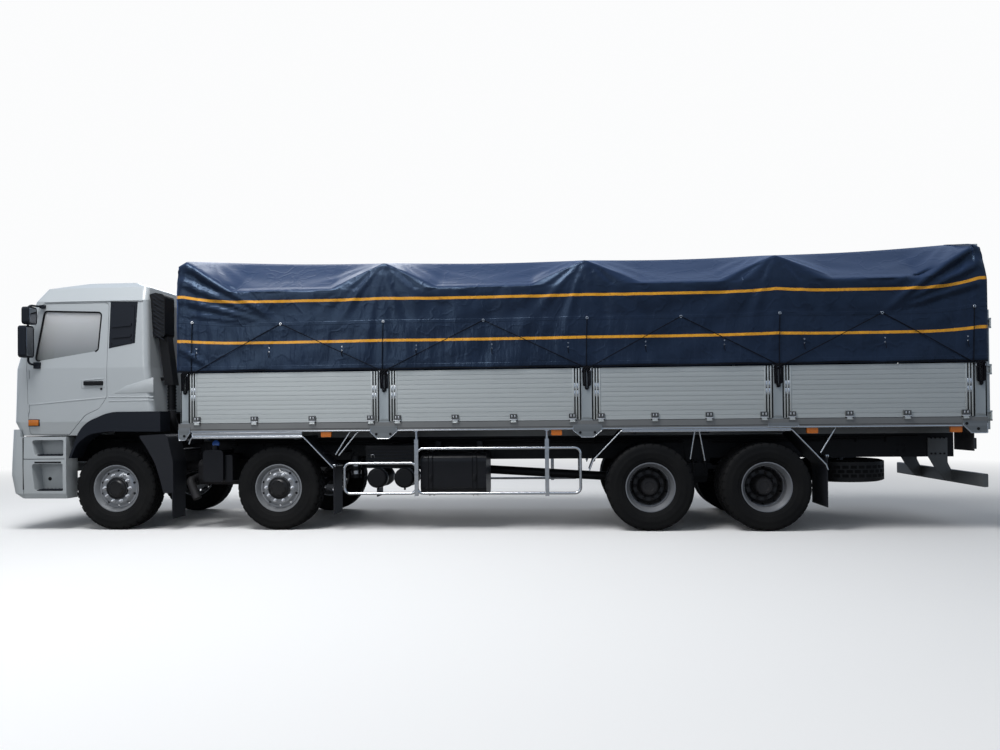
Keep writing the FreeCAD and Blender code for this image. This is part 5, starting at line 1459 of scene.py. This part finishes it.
    def step_treads(self) -> None:
        """Toothed treads in the two footholds under the door."""
        treads = []
        for low_x, high_x, z in ((5.235, 5.610, 0.945), (5.245, 5.595, 0.500)):
            treads.append(self.bench.block("tread", (low_x, 1.072, z), (high_x, 1.205, z + 0.014), 0.003))
            for n in range(7):
                x = low_x + 0.03 + n * (high_x - low_x - 0.06) / 6
                tooth = (x - 0.012, 1.085, z + 0.012), (x + 0.012, 1.195, z + 0.022)
                treads.append(self.bench.block("tooth", *tooth, 0.004))
        self.bench.pair(treads, "step_treads", "root", "plastic")

    def lamp_cups(self) -> None:
        """Reflectors behind the headlamp lenses."""
        forwards = Matrix.Rotation(radians(-90), 4, "Z")
        for side in Side:
            spots = [(5.985 - (y - 0.8) * 0.22, side.value * y, 0.97) for y in (0.83, 0.96)]
            cups = [self.bench.lathe("cup", self.lamp_cup, 28, spot, forwards) for spot in spots]
            self.bench.single(cups, f"lamp_cups_{side.word}", "root", "clear")

    def build(self) -> None:
        """Builds every fitting of the cab."""
        for make in (self.window_seals, self.crease_lines, self.handle, self.quarter_frame, self.snorkel_ribs,
                     self.step_slots, self.turn_lamps, self.mirrors, self.wipers, self.gutter_rail,
                     self.step_treads, self.lamp_cups):
            make()


@dataclass
class Body:
    """Fittings of the cargo body: pillar covers, board ends, gussets, sill, deck strips and rear lamps."""

    bench: Bench
    half: float = 1.25
    deck: float = 1.337
    top: float = 1.975
    sill_rear: float = -6.035
    sill_front: float = 3.685
    board_face: float = 1.245
    board_top: float = 1.966
    channel: float = 0.086
    channel_ribs: Outline = ((0.0, 0.017), (0.034, 0.050), (0.067, 0.086))
    latch_starts: tuple[float, ...] = (0.0175, 0.0505)
    latch_feet: tuple[float, ...] = (1.625, 1.712)
    hinges: int = 4
    hinge_half: float = 0.043
    rim_top: float = 1.262
    gusset_shapes: tuple[Outline, ...] = (
        ((3.684, 1.291), (3.684, 1.132), (3.602, 1.132), (3.540, 1.222), (3.540, 1.291)),
        ((1.246, 1.291), (1.246, 1.217), (1.160, 1.135), (1.015, 1.135), (0.915, 1.217), (0.915, 1.291)),
        ((-1.240, 1.291), (-1.240, 1.217), (-1.347, 1.135), (-1.487, 1.135), (-1.586, 1.217),
         (-1.586, 1.291)),
        ((-3.542, 1.291), (-3.542, 1.240), (-3.896, 1.240), (-3.896, 1.291)),
        ((-5.761, 1.291), (-5.761, 1.243), (-5.852, 1.152), (-6.034, 1.152), (-6.034, 1.291)))
    gusset_bolts: Outline = (
        (3.612, 1.185), (-5.93, 1.20), (-5.80, 1.262), (0.995, 1.192), (1.171, 1.192), (-1.501, 1.192),
        (-1.325, 1.192))
    rear_lamps: tuple[tuple[str, float, float], ...] = (
        ("red", 0.90, 1.02), ("amber", 1.03, 1.15), ("clear", 0.77, 0.89))

    def pillar_covers(self) -> None:
        """Pressed covers with black seals beside them on every pillar."""
        covers, seals = [], []
        for x, width in zip(POSTS, POST_WIDTHS):
            reach = width / 2 - 0.012
            cover = self.bench.block("cover", (x - reach, self.half - 0.002, self.deck + 0.02),
                                     (x + reach, self.half + 0.006, self.top - 0.01), 0.003)
            covers.append(self.bench.inset(cover, looks_out(0.2), 0.018, -0.003))
            for way in (-1, 1):
                edge = x + way * (width / 2 - 0.004)
                seals.append(self.bench.cube("seal", (edge - 0.006, self.half - 0.004, self.deck + 0.01),
                                             (edge + 0.006, self.half + 0.004, self.top - 0.004)))
        self.bench.pair(covers, "pillar_covers", "root", "body")
        self.bench.pair(seals, "pillar_seals", "root", "rubber")

    def board_channel(self, edge: float, way: int) -> dict[str, list[Piece]]:
        """Slotted channel with its ribs and latches at one end of a side board.

        Args:
            edge: where the board ends.
            way: 1 where the board lies ahead of that end and -1 where it lies behind.

        Returns:
            The parts by finish.
        """
        y, low, top = self.board_face, self.deck + 0.010, self.board_top
        inner = edge + way * self.channel
        channel = self.bench.cube("channel", (edge, y - 0.02, low), (inner, y + 0.001, top))
        ribs = [self.bench.block("rib", (edge + way * near, y - 0.02, low),
                                 (edge + way * far, y + 0.006, top), 0.002) for near, far in self.channel_ribs]
        latches = []
        for near in self.latch_starts:
            start, end = edge + way * near, edge + way * (near + 0.016)
            latches += [self.bench.block("latch", (start, y, foot), (end, y + 0.008, foot + 0.076), 0.003, 3)
                        for foot in self.latch_feet]
        return {"aluminium": ribs, "rubber": [channel], "steel": latches}

    def board_hinge(self, x: float) -> dict[str, list[Piece]]:
        """Dished hinge plate with its lip, ears and a dark strip of painted shadow under it, low on a side
        board.

        Args:
            x: the hinge's middle.

        Returns:
            The parts by finish.
        """
        y, half = self.board_face, self.hinge_half
        plate = self.bench.block("plate", (x - half, y - 0.004, 1.360), (x + half, y + 0.0232, 1.422), 0.003)
        lips = [self.bench.block("lip", (x - half, y - 0.004, 1.350), (x + half, y + 0.0238, 1.361), 0.002)]
        for way in (-1, 1):
            lips.append(self.bench.block("lip", (x + way * 0.012, y + 0.019, 1.382),
                                         (x + way * 0.024, y + 0.0240, 1.410), 0.002))
        half += 0.003
        # Dark strip in the rubber finish: a painted shadow under the plate.
        shade = self.bench.cube("shade", (x - half, y - 0.004, 1.343), (x + half, y + 0.0075, 1.351))
        return {"bracket": [self.bench.inset(plate, looks_out(0.2, 0.2), 0.009, -0.003)], "nut": lips,
                "rubber": [shade]}

    def board_ends(self) -> None:
        """Slotted end channels and hinge plates of the side boards, riding with them."""
        for n in range(1, len(POSTS)):
            for side in Side:
                low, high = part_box(f"side_board_{side.word}_{n}")
                first, last = low.x + 0.090, high.x - 0.090
                groups = [self.board_channel(low.x, 1), self.board_channel(high.x, -1)]
                groups += [self.board_hinge(first + (last - first) * k / (self.hinges - 1))
                           for k in range(self.hinges)]
                for finish in ("aluminium", "rubber", "steel", "bracket", "nut"):
                    parts = [part for group in groups for part in group.get(finish, [])]
                    piece = self.bench.join(parts, f"board_{parts[0].name}_{side.word}_{n}")
                    if side is Side.RIGHT:
                        piece.data.transform(MIRRORED)
                        piece.data.flip_normals()
                    self.bench.done(piece, f"side_board_{side.word}_{n}", finish)

    def gussets(self) -> None:
        """Faced gusset plates under the posts with bolt heads, and bright steel tubes along their edges as a
        painted edge highlight.
        """
        plates, highlight_rims = [], []
        for outline in self.gusset_shapes:
            mesh = bpy.data.meshes.new("gusset")
            corners = [(x, self.half + 0.0065, z) for x, z in outline]
            mesh.from_pydata(corners, [], [tuple(range(len(corners)))])
            plate = add_object("gusset", mesh)
            self.bench.modify(plate, "SOLIDIFY", thickness=0.003, offset=0.0)
            plates.append(plate)
            # Bright steel tube along the plate's edge: a painted edge highlight.
            rim = [(x, self.half + 0.0085, min(z, self.rim_top)) for x, z in outline]
            highlight_rims.append(self.bench.tube("rim", rim, 0.0055, 0.01))
        bolts = [self.bench.head("bolt", (x, self.half + 0.007, z), 0.008, 0.018)
                 for x, z in self.gusset_bolts]
        self.bench.pair(plates, "gussets", "root", "gusset")
        self.bench.pair(highlight_rims, "gusset_rims", "root", "steel", 50)
        self.bench.pair(bolts, "gusset_bolts", "root", "rubber")

    def underrun_bolts(self) -> None:
        """Bolt heads in two rows on the plates that carry the rear bar."""
        heads = [self.bench.head("head", (x, 0.444, z), 0.012, 0.013, 6, 0.0015, 1)
                 for x in (-5.76, -5.81, -5.87, -5.92) for z in (1.075, 0.875)]
        self.bench.pair(heads, "underrun_bolts", "root", "rubber", 40)

    def sill(self) -> None:
        """Bright edge and dark line along the sill, and the rope hooks on the posts."""
        y, rear, front = self.half, self.sill_rear, self.sill_front
        rail = self.bench.block("sill_edge", (rear, y - 0.004, 1.228), (front, y + 0.004, 1.243), 0.003)
        self.bench.both(rail, "root", "steel")
        line = self.bench.cube("sill_line", (rear, y - 0.004, 1.262), (front, y + 0.0012, 1.267))
        self.bench.both(line, "root", "rubber")
        hooks = []
        for post, width in zip(POSTS, POST_WIDTHS):
            for way in (-1, 1):
                x = post + way * (width / 2 - 0.02)
                run = [(x, y, 1.955), (x, y + 0.018, 1.955), (x, y + 0.018, 1.93), (x, y + 0.006, 1.922)]
                hooks.append(self.bench.tube("hook", run, 0.005, 0.008))
        self.bench.pair(hooks, "rope_hooks", "root", "steel", 60)

    def deck_strips(self) -> None:
        """Wear strips along the deck, seen under the cover."""
        strips = []
        for n in range(9):
            y = -1.10 + n * 0.27
            low, high = (-5.85, y, self.deck), (3.60, y + 0.04, self.deck + 0.003)
            strips.append(self.bench.block("strip", low, high, 0.0015, 1))
        self.bench.single(strips, "deck_strips", "root", "steel")

    def rear_fittings(self) -> None:
        """Handles of the lock rods, rear lamp lenses and the blank plate."""
        for side in Side:
            handles = []
            for y in (0.33, 1.13):
                run = [(-6.097, side.value * y, 1.62), (-6.098, side.value * (y - 0.05), 1.62),
                       (-6.098, side.value * (y - 0.22), 1.60)]
                handles.append(self.bench.tube("rod_handle", run, 0.0015, 0.02))
            self.bench.single(handles, f"rod_handles_{side.word}", f"rear_door_{side.word}", "steel", 60)
            for finish, near, far in self.rear_lamps:
                lens = self.bench.block(f"rear_lens_{finish}_{side.word}", (-5.964, side.value * near, 0.972),
                                        (-5.950, side.value * far, 1.078), 0.005, 3)
                self.bench.done(lens, "root", finish)
        plate = self.bench.block("plate_blank", (-6.0664, -0.26, 0.54), (-6.0604, 0.26, 0.65), 0.002)
        self.bench.done(plate, "root", "white")

    def build(self) -> None:
        """Builds every fitting of the body."""
        for make in (self.pillar_covers, self.board_ends, self.gussets, self.underrun_bolts, self.sill,
                     self.deck_strips, self.rear_fittings):
            make()


@dataclass
class Chassis:
    """Straps, stays, springs' bolts, brake chambers, lines and trims along the frame."""

    bench: Bench
    rail: float = 0.43
    strap_stations: tuple[float, ...] = (-0.02, 0.53)
    strap_line: Outline = ((0.62, 0.958), (1.04, 0.958), (1.118, 0.88), (1.118, 0.50), (1.04, 0.417),
                                    (0.62, 0.417))
    chamber: Outline = (
        (-0.14, 0.0), (-0.14, 0.045), (-0.12, 0.070), (-0.03, 0.078), (-0.03, 0.090), (-0.018, 0.090),
        (-0.018, 0.078), (0.05, 0.062), (0.062, 0.045), (0.062, 0.0))
    lines: tuple[tuple[float, float, float, float], ...] = (
        (1.095, 4.9, -5.6, 0.011), (1.065, 3.4, -5.2, 0.008), (1.040, 2.8, -4.4, 0.008))
    clips: int = 24
    clip_pitch: float = 0.37
    crossmembers: tuple[float, ...] = (5.56, 3.16, 1.75, -0.6, -2.845, -4.2, -5.4)
    hangers: tuple[float, ...] = (5.36, 3.78, 3.24, 1.66)
    guard_face: float = 1.238
    guard_top: float = 1.172
    rear_guard_top: float = 1.212
    struts: tuple[tuple[Point, Point], ...] = (
        ((1.517, 1.195, 1.225), (1.70, 1.20, 0.94)), ((1.416, 1.195, 1.225), (1.66, 1.20, 0.93)),
        ((-2.695, 1.20, 1.205), (-2.640, 1.18, 0.86)), ((-2.745, 1.20, 1.205), (-2.812, 1.18, 0.84)),
        ((-4.341, 1.19, 1.226), (-4.165, 1.19, 0.93)))

    def tank_straps(self) -> None:
        """Edge beads and buckles of the fuel tank's straps, and the two filler caps."""
        parts = []
        for x in self.strap_stations:
            for way in (-1, 1):
                bead = [(x + way * 0.026, y, z) for y, z in self.strap_line]
                parts.append(self.bench.tube("bead", bead, 0.005, 0.06))
            parts.append(self.bench.block("buckle", (x - 0.02, 1.114, 0.60), (x + 0.02, 1.130, 0.68), 0.004))
        self.bench.single(parts, "tank_straps", "root", "chassis", 50)
        for name, foot, head, radius, sides, finish in (
                ("fuel_cap", (0.56, 0.82, 0.995), (0.56, 0.82, 1.025), 0.052, 16, "plastic"),
                ("fluid_cap", (3.30, 1.040, 1.075), (3.30, 1.068, 1.083), 0.046, 14, "blue")):
            cap = self.bench.bevel(self.bench.round(name, foot, head, radius, sides), 0.006, 3)
            self.bench.done(cap, "root", finish)

    def box_fittings(self) -> None:
        """Toggle clip and ribs of the battery box, and the straps of the air tanks and the dryer."""
        clip = [(1.30, 1.018, 0.895), (1.30, 1.026, 0.93), (1.26, 1.026, 0.93), (1.26, 1.018, 0.895)]
        parts = [self.bench.tube("wire", clip, 0.004, 0.01)]
        parts += [self.bench.band("strap", 0.015, 0.1255, 0.129, 40, (x, y, 0.637))
                  for x in (1.22, 0.877) for y in (0.66, 0.98)]
        upright = Matrix.Rotation(radians(90), 4, "X")
        parts += [self.bench.band("band", 0.022, 0.0645, 0.067, 28, (1.543, 0.85, z), upright)
                  for z in (0.700, 0.800)]
        self.bench.single(parts, "box_fittings", "root", "steel", 40)
        ribs = [self.bench.block("rib", (0.77, 1.008, z), (1.345, 1.018, z + 0.012), 0.003)
                for z in (0.83, 0.875, 0.92, 0.965)]
        self.bench.single(ribs, "box_ribs", "root", "plastic")

    def u_bolts(self, x: float, apart: float, near: Flat, far: Flat, radius: float) -> list[Piece]:
        """Pair of U bolts over one spring.

        Args:
            x: the spring's middle.
            apart: how far each bolt stands from it along the truck.
            near: inner leg's Y and the legs' foot.
            far: outer leg's Y and the bolt's top.
            radius: the bolt's radius.

        Returns:
            The two bolts.
        """
        (inner, foot), (outer, top) = near, far
        legs = ((inner, foot), (inner, top), (outer, top), (outer, foot))
        return [self.bench.tube("u_bolt", [(px, y, z) for y, z in legs], radius, 0.03)
                for px in (x - apart, x + apart)]

    def spring_bolts(self) -> None:
        """U bolts over the springs."""
        parts = []
        for x in AXLES[:STEERED]:
            parts += self.u_bolts(x, 0.055, (0.348, 0.50), (0.442, 0.632), 0.011)
        parts += self.u_bolts((AXLES[2] + AXLES[3]) / 2, 0.075, (0.450, 0.66), (0.552, 0.812), 0.012)
        self.bench.pair(parts, "spring_bolts", "root", "iron", 60)

    def brake_chambers(self) -> None:
        """Round air chambers on the drive axles with their rods."""
        lengthwise = Matrix.Rotation(radians(90), 4, "Z")
        parts = []
        for x in AXLES[STEERED:]:
            parts.append(self.bench.lathe("chamber", self.chamber, 28, (x + 0.14, 0.36, 0.62), lengthwise))
            parts.append(self.bench.tube("stay", [(x + 0.10, 0.36, 0.62), (x + 0.02, 0.36, 0.585)], 0.022))
        self.bench.pair(parts, "brake_chambers", "root", "chassis", 40)

    def frame_lines(self) -> None:
        """Air lines and cable loom along the frame rails, with their clips."""
        parts = []
        for z, start, end, radius in self.lines:
            points = [(start + (end - start) * n / 16, self.rail + radius + 0.002 + 0.002 * sin(n * 2.1),
                       z + 0.005 * sin(n * 1.7)) for n in range(17)]
            parts.append(self.bench.tube("line", points, radius, 0.2))
        for n in range(self.clips):
            x = 3.3 - n * self.clip_pitch
            parts.append(self.bench.block("clip", (x - 0.008, self.rail, 1.028),
                                          (x + 0.008, self.rail + 0.026, 1.108), 0.003))
        self.bench.pair(parts, "frame_lines", "root", "rubber", 50)

    def frame_bolts(self) -> None:
        """Bolt heads along the rails and on the hangers."""
        spots = [(x + dx, z) for x in self.crossmembers for dx in (-0.04, 0.04) for z in (0.91, 0.985)]
        spots += [(x + dx, z) for x in self.hangers for dx in (-0.03, 0.03) for z in (0.87, 0.93)]
        heads = [self.bench.head("head", (x, self.rail, z), 0.012, 0.014, 6, 0.0015, 1) for x, z in spots]
        self.bench.pair(heads, "frame_bolts", "root", "chassis", 40)

    def guard_trims(self) -> None:
        """Bright rolled edges, rails, struts and clamps of the mudguards."""
        low, high = self.guard_top, self.rear_guard_top
        second, front, rear = AXLES[1], AXLES[2] + 0.73, AXLES[3] - 0.68
        second_line = ((second + 1.110, 1.085), (second + 1.080, low), (second - 0.345, low),
                       (second - 0.728, 0.778))
        rear_line = ((front, 0.730), (front - 0.05, 0.860), (front - 0.39, high), (rear + 0.395, high),
                     (rear, 0.790), (rear - 0.02, 0.730))
        edges = [self.bench.tube("edge", [(x, self.guard_face, z) for x, z in line], 0.009, bend)
                 for line, bend in ((second_line, 0.06), (rear_line, 0.07))]
        struts = [self.bench.tube("strut", ends, 0.009) for ends in self.struts]
        for start, end, z in ((second + 1.075, second - 0.335, low), (front - 0.395, rear + 0.400, high)):
            rail = self.bench.block("rail", (end, 1.232, z - 0.022), (start, 1.243, 1.2275), 0.003)
            edges.append(self.bench.inset(rail, looks_out(0.2, 0.2), 0.010, -0.003))
        for x, z in ((second - 0.734, 0.79), (rear - 0.016, 0.875)):
            clamp = (x - 0.020, 0.90, z), (x + 0.014, 1.225, z + 0.03)
            struts.append(self.bench.block("clamp", *clamp, 0.003))
        self.bench.pair(edges, "mudguard_edges", "root", "steel", 50)
        self.bench.pair(struts, "mudguard_struts", "root", "steel", 50)

    def build(self) -> None:
        """Builds every fitting along the frame."""
        for make in (self.tank_straps, self.box_fittings, self.spring_bolts, self.brake_chambers,
                     self.frame_lines, self.frame_bolts, self.guard_trims):
            make()


@dataclass
class Studio:
    """Plain floor, soft light and the photo's camera."""

    place: Point = (-1.234, 10.589, 1.366)
    yaw: float = 0.0734
    pitch: float = 0.0091
    roll: float = -0.0094
    focal_pixels: float = 772.13
    centre: tuple[float, float] = (515.7, 411.6)
    picture: tuple[int, int] = (1000, 750)
    backdrop: Point = (0.98, 0.985, 0.99)
    backdrop_strength: float = 0.99
    reflected: Point = (0.58, 0.74, 1.0)
    sky: Point = (0.80, 0.87, 0.96)
    sky_strength: float = 0.30
    floor_seen: Point = (0.95, 0.95, 0.95)
    floor_unseen: Point = (0.34, 0.34, 0.34)
    fade: Flat = (7.0, 19.0)
    lamps: tuple[tuple[str, Point, Point, float, float], ...] = (
        ("key", (3.5, 5.0, 12.0), (-0.5, 0.5, 1.6), 5.5, 1230),
        ("side", (7.0, 13.0, 6.0), (-1.0, 1.0, 1.5), 6.0, 250),
        ("far", (6.0, -10.0, 9.0), (0.0, 0.0, 2.0), 8.0, 420))

    @staticmethod
    def mix(graph: Graph, mask: object, first: Node, second: Node) -> Socket:
        """Shader that goes from the first to the second as the mask goes from 0 to 1."""
        node = graph.add("ShaderNodeMixShader")
        for socket, value in zip(node.inputs, (mask, first.outputs[0], second.outputs[0])):
            graph.feed(socket, value)
        return node.outputs[0]

    def floor(self) -> None:
        """Pale floor that stays pale to the camera, keeps the shadow and fades to the backdrop."""
        bpy.ops.object.select_all(action="DESELECT")
        bpy.ops.mesh.primitive_plane_add(size=160, location=(0, 0, -0.001))
        plane = bpy.context.object
        plane.name = "studio_floor"
        material, graph = new_material("floor_pale")
        seen = graph.add("ShaderNodeLightPath").outputs["Is Camera Ray"]
        away = graph.add("ShaderNodeVectorMath", {"operation": "LENGTH"})
        graph.feed(away.inputs[0], graph.place())
        far = graph.product(graph.between(away.outputs["Value"], *self.fade), seen)
        tone = graph.blend(seen, rgba(self.floor_unseen), rgba(self.floor_seen))
        near = graph.add("ShaderNodeBsdfPrincipled", Base_Color=tone, Roughness=0.9, Specular_IOR_Level=0.1)
        pale = graph.add("ShaderNodeEmission", Color=rgba(self.backdrop), Strength=self.backdrop_strength)
        graph.add("ShaderNodeOutputMaterial", Surface=self.mix(graph, far, near, pale))
        plane.data.materials.append(material)

    def lamp(self, name: str, place: Point, aim: Point, size: float, power: float) -> None:
        """One soft square lamp."""
        data = bpy.data.lights.new(name, "AREA")
        data.size = size
        data.energy = power
        lamp = add_object(name, data)
        lamp.location = place
        lamp.rotation_euler = (Vector(aim) - Vector(place)).to_track_quat("-Z", "Y").to_euler()

    def light(self) -> None:
        """World light and three soft lamps."""
        world = bpy.data.worlds.new("studio")
        bpy.context.scene.world = world
        world.use_nodes = True
        world.node_tree.nodes.clear()
        graph = Graph(world.node_tree)
        ray = graph.add("ShaderNodeLightPath").outputs
        seen = graph.calc("MAXIMUM", ray["Is Camera Ray"], ray["Is Transmission Ray"])
        seen = graph.calc("MAXIMUM", seen, graph.product(ray["Is Glossy Ray"], 0.5))
        seen_color = graph.blend(ray["Is Glossy Ray"], rgba(self.backdrop), rgba(self.reflected))
        soft = graph.add("ShaderNodeBackground", Color=rgba(self.sky), Strength=self.sky_strength)
        pale = graph.add("ShaderNodeBackground", Color=seen_color, Strength=self.backdrop_strength)
        graph.add("ShaderNodeOutputWorld", Surface=self.mix(graph, seen, soft, pale))
        for lamp in self.lamps:
            self.lamp(*lamp)

    def camera(self) -> None:
        """Camera at the photo's place, solved from the picture."""
        level_x, level_y, rise = sin(self.yaw), -cos(self.yaw), sin(self.pitch)
        ahead = Vector((level_x * cos(self.pitch), level_y * cos(self.pitch), rise))
        level = ahead.cross(Vector((0, 0, 1))).normalized()
        over = level.cross(ahead)
        right = level * cos(self.roll) + over * sin(self.roll)
        up = over * cos(self.roll) - level * sin(self.roll)
        data = bpy.data.cameras.new("photo_view")
        wide, high = self.picture
        data.lens = self.focal_pixels / wide * data.sensor_width
        data.shift_x = (wide / 2 - self.centre[0]) / wide
        data.shift_y = (self.centre[1] - high / 2) / wide
        camera = add_object("photo_view", data)
        turn = Matrix((right, up, -ahead)).transposed().to_4x4()
        camera.matrix_world = Matrix.Translation(self.place) @ turn
        bpy.context.scene.camera = camera

    def build(self) -> None:
        """Sets up the studio."""
        self.floor()
        self.light()
        self.camera()
        bpy.context.scene.view_settings.view_transform = "Standard"


NODE_FINISHES = {
    "chassis_frame": "chassis", "engine_block": "iron", "axles": "chassis", "leaf_springs": "chassis",
    "front_bumper": "white", "fuel_tank": "tank", "battery_and_air_tanks": "chassis", "urea_tank": "tank",
    "exhaust_and_intake_pipe": "iron", "side_guards": "steel", "mudguards": "guard",
    "spare_wheel": "spare", "underrun_bar": "galvanised", "lamps": "lamps", "cargo_bed": "body",
    "hoops": "body", "tarpaulin": "cloth", "cab_shell": "white", "windscreen": "screen",
    "front_grille": "plastic", "cab_interior": "seat", "cab_trim": "plastic", "intake_snorkel": "chassis",
    "cab_door": "white", "door_glass": "glass", "mirror": "plastic", "rear_door": "aluminium",
    "side_board": "aluminium", "knuckle": "chassis", "tyre": "tyre", "rim_3": "twin", "rim_4": "twin",
    "rim": "rim",
}


def dress_nodes(bench: Bench) -> None:
    """Gives every CAD node its finish."""
    for name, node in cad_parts.items():
        key = NODE_FINISHES[max((stem for stem in NODE_FINISHES if name.startswith(stem)), key=len)]
        node.data.materials.clear()
        node.data.materials.append(bench.materials[key])
        bench.hold(node)
        bpy.ops.object.shade_smooth_by_angle(angle=radians(30))


def main() -> None:
    """Dresses the truck piece by piece."""
    bench = Bench()
    dress_nodes(bench)
    Wheels(bench).build()
    Tarpaulin(bench).build()
    Cab(bench).build()
    Body(bench).build()
    Chassis(bench).build()
    Studio().build()
    log.info("%d pieces added", bench.count)


if __name__ == "__main__":
    main()
